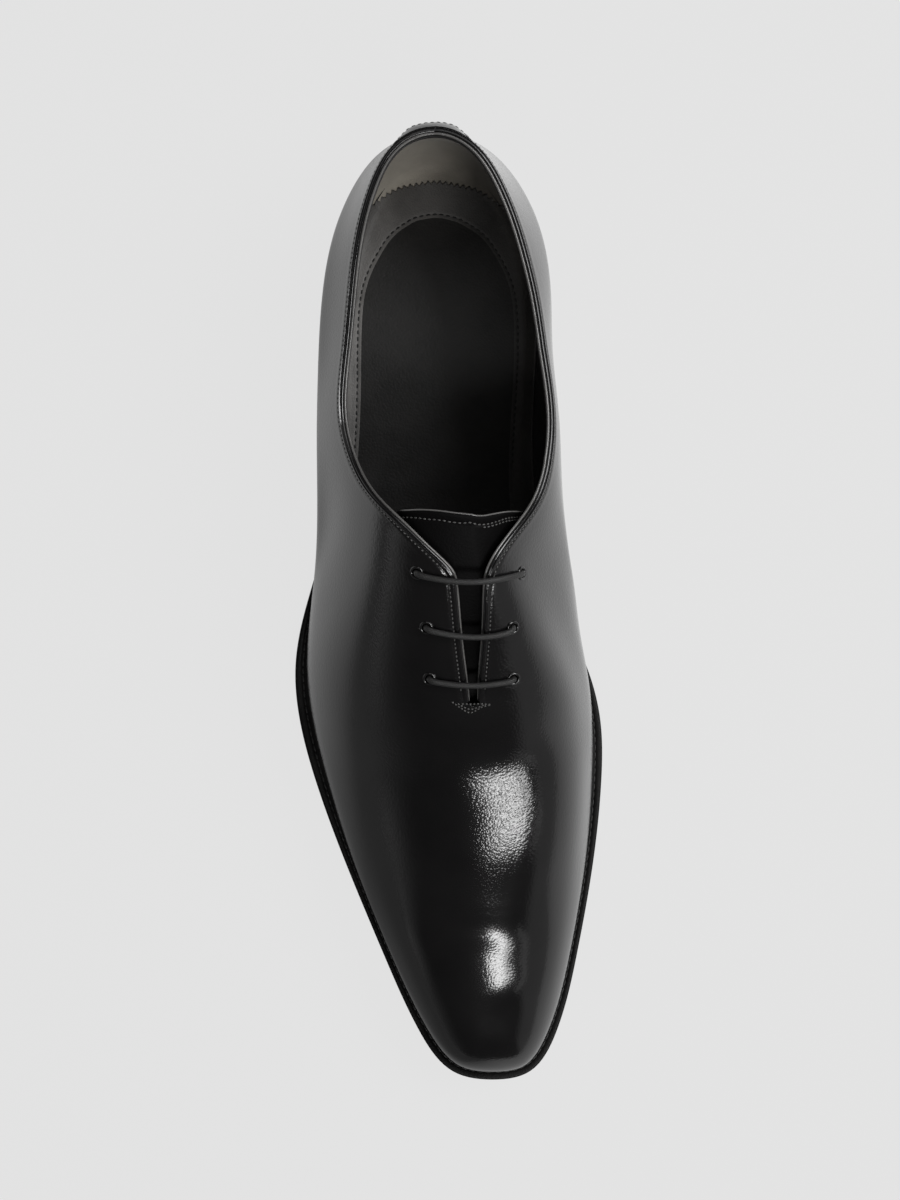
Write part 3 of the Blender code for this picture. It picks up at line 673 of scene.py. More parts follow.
rubberLook = {"pebble": 1800.0, "pore": 5200.0, "mottle": 48.0, "dark": (0.014, 0.014, 0.014),
              "light": (0.027, 0.027, 0.027), "rough": (0.66, 0.82), "depth": 0.08}

calf = leatherFinish("black polished calf", calfLook)
edgeCalf = leatherFinish("black edge calf", edgeCalfLook)
paleHighlightCalf = leatherFinish("piping calf pale grey as painted highlight", paleHighlightLook)
tongueCalf = leatherFinish("black tongue calf", tongueLook)
lining = leatherFinish("black lining leather", liningLook)
sockLeather = leatherFinish("black sock leather", sockLook)
sockBorder = leatherFinish("grey black border leather with painted side shade", borderLook)
suede = leatherFinish("grey beige suede lining with painted side shade", suedeLook)
weltLeather = leatherFinish("black welt leather", weltLook)
soleEdgeInk = leatherFinish("black sole edge ink", soleEdgeLook)
soleFace = leatherFinish("black sole face", soleFaceLook)
heelInk = leatherFinish("black stacked heel", heelLook)
rubber = leatherFinish("black top piece rubber", rubberLook)


fibreLook = {"scale": 4200.0, "depth": 0.05}


def threadFinish(name, dark, light, rough):
    material, tree, shader = newFinish(name)
    coords = addNode(tree, "ShaderNodeTexCoord").outputs["Object"]
    fibre = noiseNode(tree, coords, fibreLook["scale"], 3.0, 0.65)
    tree.links.new(rampNode(tree, fibre, [(0.3, dark), (0.7, light)]), shader.inputs["Base Color"])
    tree.links.new(mapRange(tree, fibre, 0.3, 0.7, *rough), shader.inputs["Roughness"])
    bumpInto(tree, shader, fibre, fibreLook["depth"])
    return material


# the edge, tack, tongue and strap thread is grey, not black: its paleness is a painted glint
thread = threadFinish("black thread greyed as painted glint", (0.030, 0.030, 0.030), (0.100, 0.098, 0.095), (0.38, 0.52))
sockThread = threadFinish("black sock thread", (0.002, 0.002, 0.002), (0.005, 0.005, 0.005), (0.5, 0.7))
weltThread = threadFinish("black welt thread", (0.006, 0.006, 0.006), (0.022, 0.0215, 0.021), (0.42, 0.58))


cordLook = {"along": 200.0, "around": 7.0, "dark": (0.007, 0.007, 0.007), "light": (0.024, 0.0235, 0.023),
            "rough": (0.62, 0.40), "depth": 0.05}


def cordFinish():
    material, tree, shader = newFinish("black waxed cord")
    twist = addNode(tree, "ShaderNodeGroup", node_tree=yarnTwist)
    twist.inputs["Along"].default_value = cordLook["along"]
    twist.inputs["Around"].default_value = cordLook["around"]
    shade = rampNode(tree, twist.outputs["Fleck"], [(0.3, cordLook["dark"]), (0.75, cordLook["light"])])
    tree.links.new(shade, shader.inputs["Base Color"])
    rough = mapRange(tree, twist.outputs["Height"], -0.2, 1.0, *cordLook["rough"])
    tree.links.new(rough, shader.inputs["Roughness"])
    bumpInto(tree, shader, twist.outputs["Height"], cordLook["depth"])
    return material


cordWax = cordFinish()
print("finishes ready")

# the closed last, to find places on the upper by
formGrid = {"columns": (40, 40, 40), "rows": 60}
formShares = columnShares(*formGrid["columns"])
formRows = np.linspace(0, 1, formGrid["rows"] + 1)
formBm = bmesh.new()
for side in sides:
    gridSheet(formBm, np.array([byShare(c, formRows) for c in columns(side, formShares, False)]))
bmesh.ops.remove_doubles(formBm, verts=formBm.verts, dist=0.05 * mm)
form = BVHTree.FromBMesh(formBm)
formBm.free()


def spotFrom(start, direction):
    place, normal, _, _ = form.ray_cast(Vector(start) * mm, Vector(direction))
    if normal.dot(Vector(direction)) > 0:
        normal = -normal
    return np.array(place) / mm, np.array(normal)


def spotBelow(x, y):
    return spotFrom((x, y, 2 * shoe["length"]), (0, 0, -1))


# eyelets: station, then distance from the ridge to each side
eyelets = {
    "rows": [(0.446, 13.0, 12.4), (0.496, 13.4, 12.3), (0.548, 15.7, 15.4)],
    "hole": 1.35, "punchSides": 28, "punchDeep": 4, "roll": 1.75, "rollThick": 0.42, "rollLift": 0.02,
    "rollSides": 10, "rollSteps": 30,
    "pucker": (0.16, 1.9),  # depth, half width
    "puckerRing": (0.55, 3.4, 1.2),  # share of that depth, radius, half width
}
eyeletSpots = {side: [] for side in sides}
for station, lateral, medial in eyelets["rows"]:
    ridgeX = at(last, "ridgeX", station)
    for side, reach in (("lateral", -lateral), ("medial", medial)):
        eyeletSpots[side].append(spotBelow(ridgeX + reach, along(station)))

# the upper: one piece of calf over the last, with a stitched turned edge and soft creases
upperShape = {
    "columns": (140, 70, 84), "rows": 40, "tuck": (0.45, 0.7),
    "edgeRows": (6.0, 4.6, 3.5, 2.7, 2.1, 1.75, 1.45, 1.15, 0.85, 0.5, 0.2, 0.0),
    "stitchLine": 1.3, "stitchDip": 0.16, "stitchWide": 0.42, "edgeFade": 4.0,
    "edgePuff": 0.07, "puffs": ((2.6, 0.9), (0.5, 0.35)),  # places and half widths
    "rimRound": 0.55, "rimAbove": 60.0, "poleReach": 5.0, "polePasses": 6,
    # soft hollows of the vamp and the toe, swells where the depth is below zero:
    # place in plan, angle, half length, half width, depth
    "hollows": [
        (23.0, -42.5, 0, 21.0, 10.0, 1.8), (17.5, -72.0, 0, 50.0, 16.0, -2.15),
        (9.0, -99.0, 0, 24.0, 6.0, 0.57), (21.0, -118.0, 0, 12.5, 7.0, -0.75),
        (16.0, -104.0, 90, 19.0, 9.5, -0.85), (15.5, -132.0, 0, 25.0, 7.0, 0.42),
    ],
    # creases with a lip on both sides, given in the same way
    "creases": [
        (17.0, -67.5, 4, 6.0, 0.9, 0.022), (18.0, -69.3, 2, 6.5, 0.8, 0.020),
        (16.5, -71.2, -3, 6.0, 0.9, 0.022), (14.5, -91.5, 3, 8.0, 0.8, 0.022),
        (30.0, -19.0, 58, 7.0, 1.1, 0.05), (27.5, -22.0, 62, 6.0, 1.0, 0.04),
    ],
}
upperShares = columnShares(*upperShape["columns"])
openFrom = spine(upperShares)[:, 1] - along(shoe["throatEnd"])  # over zero where the top is open


def creaseDepth(points, normals):
    drop = np.zeros(points.shape[:2])
    upwards = np.maximum(normals[:, :, 2], 0) ** 2
    for kind, lip in (("hollows", 0.0), ("creases", 0.7)):
        for x, y, angle, long, wide, depth in upperShape[kind]:
            turn = math.radians(angle)
            dx, dy = points[:, :, 0] - x, points[:, :, 1] - y
            runAlong = dx * math.cos(turn) + dy * math.sin(turn)
            q = ((dy * math.cos(turn) - dx * math.sin(turn)) / wide) ** 2
            drop += upwards * depth * (1 - lip * q) * np.exp(-q) * hill(runAlong, long)
    depth, wide = eyelets["pucker"]  # leather draws in a little round each eyelet
    share, radius, ringWide = eyelets["puckerRing"]
    for side in sides:
        for place, _ in eyeletSpots[side]:
            away = np.linalg.norm(points - place, axis=2)
            drop += depth * (hill(away, wide) - share * hill(away - radius, ringWide))
    return drop


def upperGrid(side):
    grid = []
    for points in columns(side, upperShares):
        total = runOf(points)[-1]
        near = total - np.array(upperShape["edgeRows"])
        places = np.concatenate([np.linspace(0, near[0], upperShape["rows"], endpoint=False), near])
        grid.append(byRun(points, places))
    grid = np.array(grid)
    normals = gridNormals(grid, sides[side])
    for i in (0, -1):  # the halves share one direction where they meet
        normals[i, :, 0] = 0
        normals[i] /= np.maximum(np.linalg.norm(normals[i], axis=1), 1e-6)[:, None]
    fade = ease(openFrom / upperShape["edgeFade"])[:, None]
    fromEdge = np.concatenate([np.full(upperShape["rows"], np.inf), upperShape["edgeRows"]])[None, :]
    seam = upperShape["stitchDip"] * hill(fromEdge - upperShape["stitchLine"], upperShape["stitchWide"])
    puff = upperShape["edgePuff"] * sum(hill(fromEdge - place, wide) for place, wide in upperShape["puffs"])
    drop = fade * (seam - puff) + creaseDepth(grid, normals)
    grid = grid - normals * drop[:, :, None]
    inward, down = upperShape["tuck"]  # a last row tucked under, on to the welt
    foot = grid[:, :1] - normals[:, :1] * inward - np.array((0, 0, down))
    return np.concatenate([foot, grid], axis=1), normals


upperGrids = {side: upperGrid(side) for side in sides}
bm = bmesh.new()
for side in sides:
    gridSheet(bm, upperGrids[side][0])
bmesh.ops.remove_doubles(bm, verts=bm.verts, dist=0.12 * mm)
bmesh.ops.dissolve_degenerate(bm, edges=bm.edges, dist=0.01 * mm)
toePole = Vector((*spine(np.array([0.0]))[0], 0)) * mm
nearPole = [v for v in bm.verts if (Vector((*v.co.xy, 0)) - toePole).length < upperShape["poleReach"] * mm]
for _ in range(upperShape["polePasses"]):  # the columns meet at the toe, so their points are evened out there
    bmesh.ops.smooth_vert(bm, verts=nearPole, factor=0.5, use_axis_x=True, use_axis_y=True, use_axis_z=True)
upper = pieceFrom(bm, "upper_shell", [calf, lining, edgeCalf], ["upper"], merge=0)
thicken(upper, shoe["wall"], inner=1, rim=2)

bm = bmesh.new()
bm.from_mesh(upper.data)
rimEdges = [e for e in bm.edges if len(e.link_faces) == 2
            and min(v.co.z for v in e.verts) > upperShape["rimAbove"] * mm
            and {f.material_index for f in e.link_faces} in ({0, 2}, {1, 2})]
bmesh.ops.bevel(bm, geom=rimEdges, offset=upperShape["rimRound"] * mm, affect="EDGES", segments=3,
                profile=0.5, material=-1, clamp_overlap=True)
bm.to_mesh(upper.data)
bm.free()


def standOn(place, normal, lift=0.0):
    # matrix that stands on a spot of the upper, with Z along its normal
    stand = Vector(normal).to_track_quat("Z", "Y").to_matrix().to_4x4()
    stand.translation = (Vector(place) + Vector(normal) * lift) * mm
    return stand


punches = bpy.data.collections.new("punches")
bpy.context.scene.collection.children.link(punches)
for side in sides:
    for place, normal in eyeletSpots[side]:
        bm = bmesh.new()
        bmesh.ops.create_cone(bm, cap_ends=True, segments=eyelets["punchSides"], radius1=eyelets["hole"] * mm,
                              radius2=eyelets["hole"] * mm, depth=eyelets["punchDeep"] * shoe["wall"] * mm,
                              matrix=standOn(place, normal))
        mesh = bpy.data.meshes.new("punch")
        bm.to_mesh(mesh)
        bm.free()
        mesh.materials.append(edgeCalf)
        punches.objects.link(bpy.data.objects.new("punch", mesh))
cut = upper.modifiers.new("eyelets", "BOOLEAN")
cut.operand_type = "COLLECTION"
cut.collection = punches
bakeModifiers(upper)
for punch in list(punches.objects):
    bpy.data.objects.remove(punch, do_unlink=True)
bpy.data.collections.remove(punches)
upper.data.shade_smooth()
print("upper:", len(upper.data.polygons), "faces")

# raised rolls round the eyelets
bm = bmesh.new()
for side in sides:
    for place, normal in eyeletSpots[side]:
        ring = bmesh.ops.create_circle(bm, segments=eyelets["rollSides"], radius=eyelets["rollThick"] * mm)
        stand = standOn(place, normal, eyelets["rollLift"])
        lay = stand @ Matrix.Translation((eyelets["roll"] * mm, 0, 0)) @ Matrix.Rotation(math.pi / 2, 4, "X")
        bmesh.ops.transform(bm, matrix=lay, verts=ring["verts"])
        edges = list(dict.fromkeys(e for v in ring["verts"] for e in v.link_edges))
        bmesh.ops.spin(bm, geom=ring["verts"] + edges, cent=stand.translation,
                       axis=stand.to_3x3() @ Vector((0, 0, 1)), angle=2 * math.pi, steps=eyelets["rollSteps"],
                       use_merge=True)
pieceFrom(bm, "eyelet_rolls", [edgeCalf], merge=0.005)


# rolled edge: an inner bead, pale grey as a painted highlight, and a flatter roll beside it, all round the
# collar and down the throat
binding = {
    "beadRadius": 0.42, "beadIn": 1.85, "beadUp": 0.32, "rollRadius": 0.55, "rollIn": 0.95, "rollUp": -0.1,
    "spacing": 0.7, "around": 12, "from": 0.4, "belowRow": -6, "outRow": -4,  # rows counted from the edge
}


def rimFrames(side):
    # points of the opening's edge with the ways up the wall, inwards and outwards
    grid, normals = upperGrids[side]
    started = openFrom > binding["from"]
    rim, out = grid[started, -1], normals[started, binding["outRow"]]
    rise = rim - grid[started, binding["belowRow"]]
    rise /= np.linalg.norm(rise, axis=1)[:, None]
    out = out - rise * np.sum(out * rise, axis=1)[:, None]
    out /= np.linalg.norm(out, axis=1)[:, None]
    return rim, rise, -out


def rimLine(inward, up):
    lines = {}
    for side in sides:
        rim, rise, inn = rimFrames(side)
        line = rim + inn * inward + rise * up
        lines[side] = np.vstack([2 * line[0] - line[1], line[:-1:2], line[-1]])  # starts at the throat's end
    return np.vstack([lines["lateral"], lines["medial"][-2::-1]])


for name, part, finish in (("collar_piping", "roll", edgeCalf), ("collar_bead", "bead", paleHighlightCalf)):
    bm = bmesh.new()
    line = rimLine(binding[part + "In"], binding[part + "Up"])
    tubeSheet(bm, smoothRoute(line, binding["spacing"]), binding[part + "Radius"], binding["around"])
    pieceFrom(bm, name, [finish], ["collar_binding"] if part == "roll" else [], merge=0)

# stitch row beside the collar's and the throat's edge
edgeThread = {"pitch": 1.45, "long": 0.8, "wide": 0.5, "high": 0.5, "lift": 0.08,
              "fromEdge": 1.45, "from": 3.0}
bm = bmesh.new()
edgeColumn = upperShape["rows"] + 1 + upperShape["edgeRows"].index(edgeThread["fromEdge"])
for side in sides:
    grid, normals = upperGrids[side]
    started = openFrom > edgeThread["from"]
    sew(bm, grid[started, edgeColumn], normals[started, edgeColumn - 1], edgeThread)
pieceFrom(bm, "edge_stitches", [thread], merge=0)

# tack across the end of the throat: a flat V of stitching
tack = {
    "line": [(0.6, -23.0), (2.6, -24.4), (5.2, -26.2), (6.8, -26.7), (8.4, -26.0), (10.4, -24.8),
             (13.2, -24.2)],
    "bar": [(3.6, -23.9), (6.8, -24.0), (10.0, -23.9), (13.2, -24.2)],
    "inner": [(2.2, -23.4), (4.6, -24.9), (6.8, -25.6), (9.2, -24.9), (11.4, -24.0)],
    "thread": {"pitch": 1.15, "long": 0.75, "wide": 0.55, "high": 0.5, "lift": 0.08},
    "spacing": 0.5,
}
bm = bmesh.new()
for line in (tack["line"], tack["bar"], tack["inner"]):
    spots = [spotBelow(x, y) for x, y in smoothRoute([(*p, 0) for p in line], tack["spacing"])[:, :2]]
    path, ups = np.array(spots).transpose(1, 0, 2)
    sew(bm, path, ups, tack["thread"])
pieceFrom(bm, "throat_tack", [thread], merge=0)
print("edges, beads and stitches on")

# the tongue, with a turned top edge stitched down
tongueShape = {
    "names": ("halfWidth", "depth"),
    "rows": [(0.372, 13.0, 2.5), (0.395, 16.0, 2.8), (0.425, 19.0, 5.0), (0.500, 22.5, 5.0),
             (0.560, 25.0, 5.0), (0.588, 26.0, 5.0), (0.600, 23.5, 5.0)],
    "thickness": 1.8, "across": 56, "along": 84, "dip": (10.8, 16.0, 8.0, 2.0), "lift": 0.7,
    "fine": (0.94, 16), "topFrom": 0.8,  # closer rows from here on, and where the top edge starts to bend
    "fold": 2.9, "foldDip": 0.22, "foldWide": 0.5, "foldPuff": 0.18, "puffAt": 0.9, "puffWide": 0.8,
    "rim": 0.26, "rimSunk": 0.8, "rimSpacing": 0.6, "rimAround": 10, "round": 0.75, "spacing": 0.5,
    "second": (0.85, 0.05, 11, 20),  # another row: behind the first, sunk, from this part of it on
    "thread": {"pitch": 1.5, "long": 1.0, "wide": 0.5, "high": 0.5, "lift": 0.1},
}


def tongueGrid():
    first, end = tongueShape["rows"][0][0], tongueShape["rows"][-1][0]
    fineFrom, fine = tongueShape["fine"]
    shares = np.concatenate([np.linspace(0, fineFrom, tongueShape["along"] - fine, endpoint=False),
                             np.linspace(fineFrom, 1, fine + 1)])
    topFrom = tongueShape["topFrom"]
    middle, left, right, deep = tongueShape["dip"]
    grid = []
    for across in np.linspace(-1, 1, tongueShape["across"] + 1):
        line = []
        for share in shares:
            station = first + (end - first) * share
            x = at(last, "ridgeX", station) + across * at(tongueShape, "halfWidth", station)
            dip = deep * hill(x - middle, left if x < middle else right)
            bend = (tongueShape["lift"] - dip) * ease((share - topFrom) / (1 - topFrom))
            place, normal = spotBelow(x, along(station) + bend)
            line.append(place - normal * at(tongueShape, "depth", station))
        grid.append(line)
    grid = np.array(grid)
    normals = gridNormals(grid, 1)
    fromTop = np.array([runOf(line)[-1] - runOf(line) for line in grid])
    drop = tongueShape["foldDip"] * hill(fromTop - tongueShape["fold"], tongueShape["foldWide"])
    drop = drop - tongueShape["foldPuff"] * hill(fromTop - tongueShape["puffAt"], tongueShape["puffWide"])
    return grid - normals * drop[:, :, None], normals, fromTop


tongueSheet, tongueUp, tongueFromTop = tongueGrid()
bm = bmesh.new()
gridSheet(bm, tongueSheet)
tongue = pieceFrom(bm, "tongue_leather", [tongueCalf], ["tongue"], merge=0, outward=False)
thicken(tongue, tongueShape["thickness"])
roundEdges(tongue, tongueShape["round"], 3)

bm = bmesh.new()
foldLine = [int(np.argmin(np.abs(f - tongueShape["fold"]))) for f in tongueFromTop]
path = np.array([tongueSheet[i, j] for i, j in enumerate(foldLine)])[2:-2]
ups = np.array([tongueUp[i, j] for i, j in enumerate(foldLine)])[2:-2]
path = smoothRoute(path[::4], tongueShape["spacing"])
ups = byShare(ups, np.linspace(0, 1, len(path)))
sew(bm, path, ups, tongueShape["thread"])
behind, sunk, part, whole = tongueShape["second"]
second = path + np.array((0, -behind, 0)) - ups * sunk
half = len(second) * part // whole
sew(bm, second[half:], ups[half:], tongueShape["thread"])
pieceFrom(bm, "tongue_stitches", [thread], merge=0)

# thin rim along the tongue's top edge, pale grey as a painted highlight
bm = bmesh.new()
topLine = tongueSheet[1:-1:3, -1] - tongueUp[1:-1:3, -1] * tongueShape["rim"] * tongueShape["rimSunk"]
tubeSheet(bm, smoothRoute(topLine, tongueShape["rimSpacing"]), tongueShape["rim"], tongueShape["rimAround"])
pieceFrom(bm, "tongue_rim", [paleHighlightCalf], merge=0)
print("tongue on")

# the lace: three bars, each end hidden under a top eyelet
laceShape = {
    "radius": 0.90, "over": 1.1, "under": 3.6, "through": 2.6, "proud": 0.2, "tail": 2.6, "around": 24,
    "spacing": 0.32, "strands": 6, "turn": 1.15, "relief": 0.055, "sunkShare": 0.4,
    "bar": (0.06, 0.94, 11), "hidden": (0.08, 0.92, 6),  # where a stretch starts and ends, and its points
    "sags": {"low": (1.5, 0.5), "mid": (2.3, 0.42), "top": (2.3, 0.5)},  # depth, and where it is lowest
    "asides": {"first": -1.4, "last": 3.6},  # sideways bow of the hidden stretches on the medial side
}


def laceBar(start, end, sag, lowest):
    route = []
    for share in np.linspace(*laceShape["bar"]):
        plan = start[0] + (end[0] - start[0]) * share
        bent = share ** (math.log(0.5) / math.log(lowest))
        place, normal = spotBelow(plan[0], plan[1] - sag * 4 * bent * (1 - bent))
        route.append(place + normal * laceShape["over"])
    return route


def laceUnder(start, end, aside=0.0):
    route = []
    for share in np.linspace(*laceShape["hidden"]):
        plan = start[0] + (end[0] - start[0]) * share
        place, normal = spotBelow(plan[0] + aside * math.sin(math.pi * share), plan[1])
        route.append(place - normal * laceShape["under"])
    return route


def through(spot, way):
    place, normal = spot
    ends = [place + normal * laceShape["proud"] * laceShape["radius"], place - normal * laceShape["through"]]
    return ends if way == "in" else ends[::-1]


lowL, midL, topL = eyeletSpots["lateral"]
lowM, midM, topM = eyeletSpots["medial"]
sags, asides = laceShape["sags"], laceShape["asides"]
route = laceUnder(midM, topM, asides["first"])[::-1][1:]
route += through(midM, "out") + laceBar(midM, midL, *sags["mid"]) + through(midL, "in")
route += laceUnder(midL, lowL)
route += through(lowL, "out") + laceBar(lowL, lowM, *sags["low"]) + through(lowM, "in")
route += laceUnder(lowM, topM, asides["last"])
route += through(topM, "out") + laceBar(topM, topL, *sags["top"]) + through(topL, "in")
place, normal = spotBelow(topL[0][0] - laceShape["tail"], topL[0][1])
route.append(place - normal * laceShape["under"])
laceLine = smoothRoute(route, laceShape["spacing"])


def braid(turns, s):
    phase = math.pi * s / laceShape["turn"]
    strands = laceShape["strands"] * turns
    upper = np.maximum(np.cos(strands + phase), np.cos(strands - phase))
    return laceShape["relief"] * (upper - laceShape["sunkShare"])


bm = bmesh.new()
tubeSheet(bm, laceLine, laceShape["radius"], laceShape["around"], braid)
pieceFrom(bm, "lace_cord", [cordWax], ["lace"], merge=0)
print("lace run, mm:", round(runOf(laceLine)[-1], 1))

# strap up the back seam: padded, so that its face shows from above, and sewn down along its edges
tabShape = {
    "rows": [(60.0, 5.0, 5.0), (62.0, 7.6, 7.2), (66.0, 9.2, 8.4), (76.0, 11.0, 9.4), (89.6, 12.6, 10.6)],
    "fall": 0.5, "backing": 0.5, "edge": 0.5, "sunk": -0.12, "step": 0.3, "taper": 6.0,
    "across": 56, "up": 60,
    "thread": {"pitch": 1.9, "long": 1.2, "wide": 0.45, "high": 0.36, "lift": 0.0},
    "inset": 1.5, "topRow": 85.5,  # of the strap's stitches
    "tack": {"pitch": 0.8, "long": 2.0, "slant": 78},  # close crossing stitches at the strap's inner corner
}
tabPad = {  # height, and how far the pad stands out there
    "names": ("out",),
    "rows": [(58.0, 0.6), (66.0, 0.8), (76.0, 1.3), (82.0, 1.75), (85.5, 1.65), (88.2, 0.95), (90.0, 0.25)],
}


def tabSpot(share, z, half, lift):
    heights = [row[0] for row in tabShape["rows"]]
    low, top = heights[0], heights[-1]
    fall = tabShape["fall"] * (z - low) / (top - low)
    start = (at(last, "ridgeX", 1.0) + share * half, shoe["length"], z - fall * share**2)
    place, normal = spotFrom(start, (0, -1, 0))
    return place + normal * lift


def tabGrid(inset=0.0):
    # rows up the strap: padded in the middle, down on the upper along the edges
    heights, lateral, medial = np.array(tabShape["rows"]).T
    shares = np.sin(np.linspace(-1, 1, tabShape["across"] + 1) * math.pi / 2)
    shareUp = np.sin(np.linspace(0, 1, tabShape["up"] + 1) * math.pi / 2)
    rise = heights[0] + inset + (heights[-1] - heights[0] - 2 * inset) * shareUp
    step, sunk = tabShape["step"], tabShape["sunk"]
    grid = []
    for share in shares:
        line = []
        for z in rise:
            half = np.interp(z, heights, lateral if share < 0 else medial) - inset
            fromSide = (1 - abs(share)) * half + inset
            pad = step + (at(tabPad, "out", z) - step) * ease(fromSide / tabShape["taper"])
            near = min(fromSide, z - heights[0]) / tabShape["edge"]
            pad = sunk + (pad - sunk) * math.sqrt(1 - (1 - min(near, 1)) ** 2)
            line.append(tabSpot(share, z, half, pad))
        grid.append(line)
    return np.array(grid)


bm = bmesh.new()
gridSheet(bm, tabGrid())
tab = pieceFrom(bm, "heel_strap", [calf], ["heel_tab"], outward=False)
if sum(p.normal.y for p in tab.data.polygons) < 0:
    tab.data.flip_normals()
thicken(tab, tabShape["backing"])

bm = bmesh.new()
seamGrid = tabGrid(tabShape["inset"])
seamUp = gridNormals(seamGrid, -1)
for i in (0, -1):
    sew(bm, seamGrid[i], seamUp[i], tabShape["thread"])
topRow = int(np.argmin(np.abs(seamGrid[tabShape["across"] // 2, :, 2] - tabShape["topRow"])))
for j in (0, topRow):
    sew(bm, seamGrid[:, j], seamUp[:, j], tabShape["thread"])
corner = [topRow - 2, -1]
sew(bm, seamGrid[-1, corner], seamUp[-1, corner], dict(tabShape["thread"], **tabShape["tack"]))
pieceFrom(bm, "strap_stitches", [thread], merge=0)
print("heel strap on")


# inside: facing under the rim, suede at the heel, sock with a pinked edge
def innerSheet(bm, shares, places, depth):
    # rows of points inside the wall, at distances from the feather or from the rim
    outer = roundTheBack({side: np.array([byRun(c, places(runOf(c)[-1], share)) for c, share in
                                          zip(columns(side, shares), shares)]) for side in sides})
    gridSheet(bm, outer - gridNormals(outer, -1) * depth)


facing = {"height": 7.0, "frontHeight": 4.6, "backFrom": 0.8, "underRim": 0.5, "wallGap": 0.05,
          "thickness": 0.5, "round": 0.18, "rows": 10, "columns": 90, "from": 0.60}
faceShares = np.linspace(facing["from"], 1, facing["columns"] + 1)


def facingPlaces(total, share):
    back = ease((share - facing["backFrom"]) / (1 - facing["backFrom"]))
    deep = facing["frontHeight"] + (facing["height"] - facing["frontHeight"]) * back
    return np.linspace(total - deep, total - facing["underRim"], facing["rows"] + 1)


bm = bmesh.new()
innerSheet(bm, faceShares, facingPlaces, shoe["wall"] + facing["wallGap"])
face = pieceFrom(bm, "collar_facing", [lining], merge=0.02)
thicken(face, facing["thickness"])
roundEdges(face, facing["round"], 2)

sock = {
    "thickness": 0.7, "lift": 0.75, "corner": 4, "spacing": 0.5, "front": 0.13, "wallGap": 3.1, "climb": 30.0,
    "pinkDepth": 1.3, "pinkStep": 2.4, "stitchDip": 0.25, "stitchedFrom": 50.0, "clear": 0.1, "floorPoints": 80,
    "columns": (0.80, 90, 150),  # share where the heel starts, columns ahead of it and behind
    "floorRows": 9, "seamRows": (-0.7, -0.35, 0, 0.35, 0.7), "seamHalf": 1.2, "edgeRows": 16,
    "thread": {"pitch": 2.2, "long": 1.6, "wide": 0.85, "high": 0.6, "lift": -0.06},
}
sockEdge = {  # at places along the feather: edge over the insole's corner, and stitch row inside it
    "names": ("rise", "stitch"),
    "rows": [(70.0, 10.2, 1.6), (100.0, 10.2, 1.7), (111.0, 10.3, 2.0), (118.0, 10.3, 3.0), (124.5, 9.7, 4.4),
             (131.0, 7.0, 6.0), (137.0, 3.6, 8.2), (142.6, 1.0, 10.7), (147.2, -1.2, 12.6),
             (150.2, -2.9, 14.0), (151.3, -3.2, 14.4)],
}
heelLining = {"from": 0.80, "columns": 70, "rows": 30, "thickness": 0.35, "wallGap": 2.62, "lift": 0.4,
              "under": 8.0, "below": 2.4}


def innerLine(side, base, top, gap, lift, reach):
    # one line from the middle of the insole to its edge and on up the wall, with a rounded corner
    section = wallSection(base, top, side)
    outward = (base - top) / np.linalg.norm(base - top)
    wallIn = section[:, :2] - outward * gap
    lift = shoe["gap"] + sock["clear"] + lift
    floor = featherZ(base[1]) + lift
    middle = np.array((*top, featherZ(top[1]) + lift))
    low = np.array((*(base - outward * gap), floor))
    climb = np.column_stack([wallIn, section[:, 2]])[(section[:, 2] > floor) & (section[:, 2] < reach)]
    flat = np.linspace(middle, low, sock["floorPoints"])
    flat[:, 2] = featherZ(flat[:, 1]) + lift
    line = np.vstack([flat, climb])
    line = byRun(line, np.arange(0, runOf(line)[-1], sock["spacing"]))
    wide = sock["corner"]
    padded = np.vstack([2 * line[0] - line[wide:0:-1], line, 2 * line[-1] - line[-2:-wide - 2:-1]])
    kernel = np.hanning(2 * wide + 3)[1:-1]
    kernel /= kernel.sum()
    soft = np.column_stack([np.convolve(axis, kernel, "valid") for axis in padded.T])
    return soft, np.linalg.norm(low - middle)


def suedeGrid(side):
    shares = np.linspace(heelLining["from"], 1, heelLining["columns"] + 1)
    rims = [line[-1][2] for line in columns(side, shares)]
    grid = []
    for base, top, rim in zip(byShare(featherHalf[side], shares), spine(shares), rims):
        line, toWall = innerLine(side, base, top, heelLining["wallGap"], heelLining["lift"],
                                 rim - heelLining["below"])
        start = toWall - heelLining["under"]
        grid.append(byRun(line, np.linspace(start, runOf(line)[-1], heelLining["rows"] + 1)))
    return np.array(grid)


def faceUpwards(piece):
    # floor parts of an inner sheet look up, and so its walls look inwards
    if sum(p.normal.z * p.area for p in piece.data.polygons) < 0:
        piece.data.flip_normals()


bm = bmesh.new()
gridSheet(bm, roundTheBack({side: suedeGrid(side) for side in sides}))
suedeSheet = pieceFrom(bm, "heel_lining", [suede], merge=0.02)
faceUpwards(suedeSheet)
thicken(suedeSheet, heelLining["thickness"])


def zigzag(run):
    return np.abs(2 * ((run / sock["pinkStep"]) % 1) - 1)


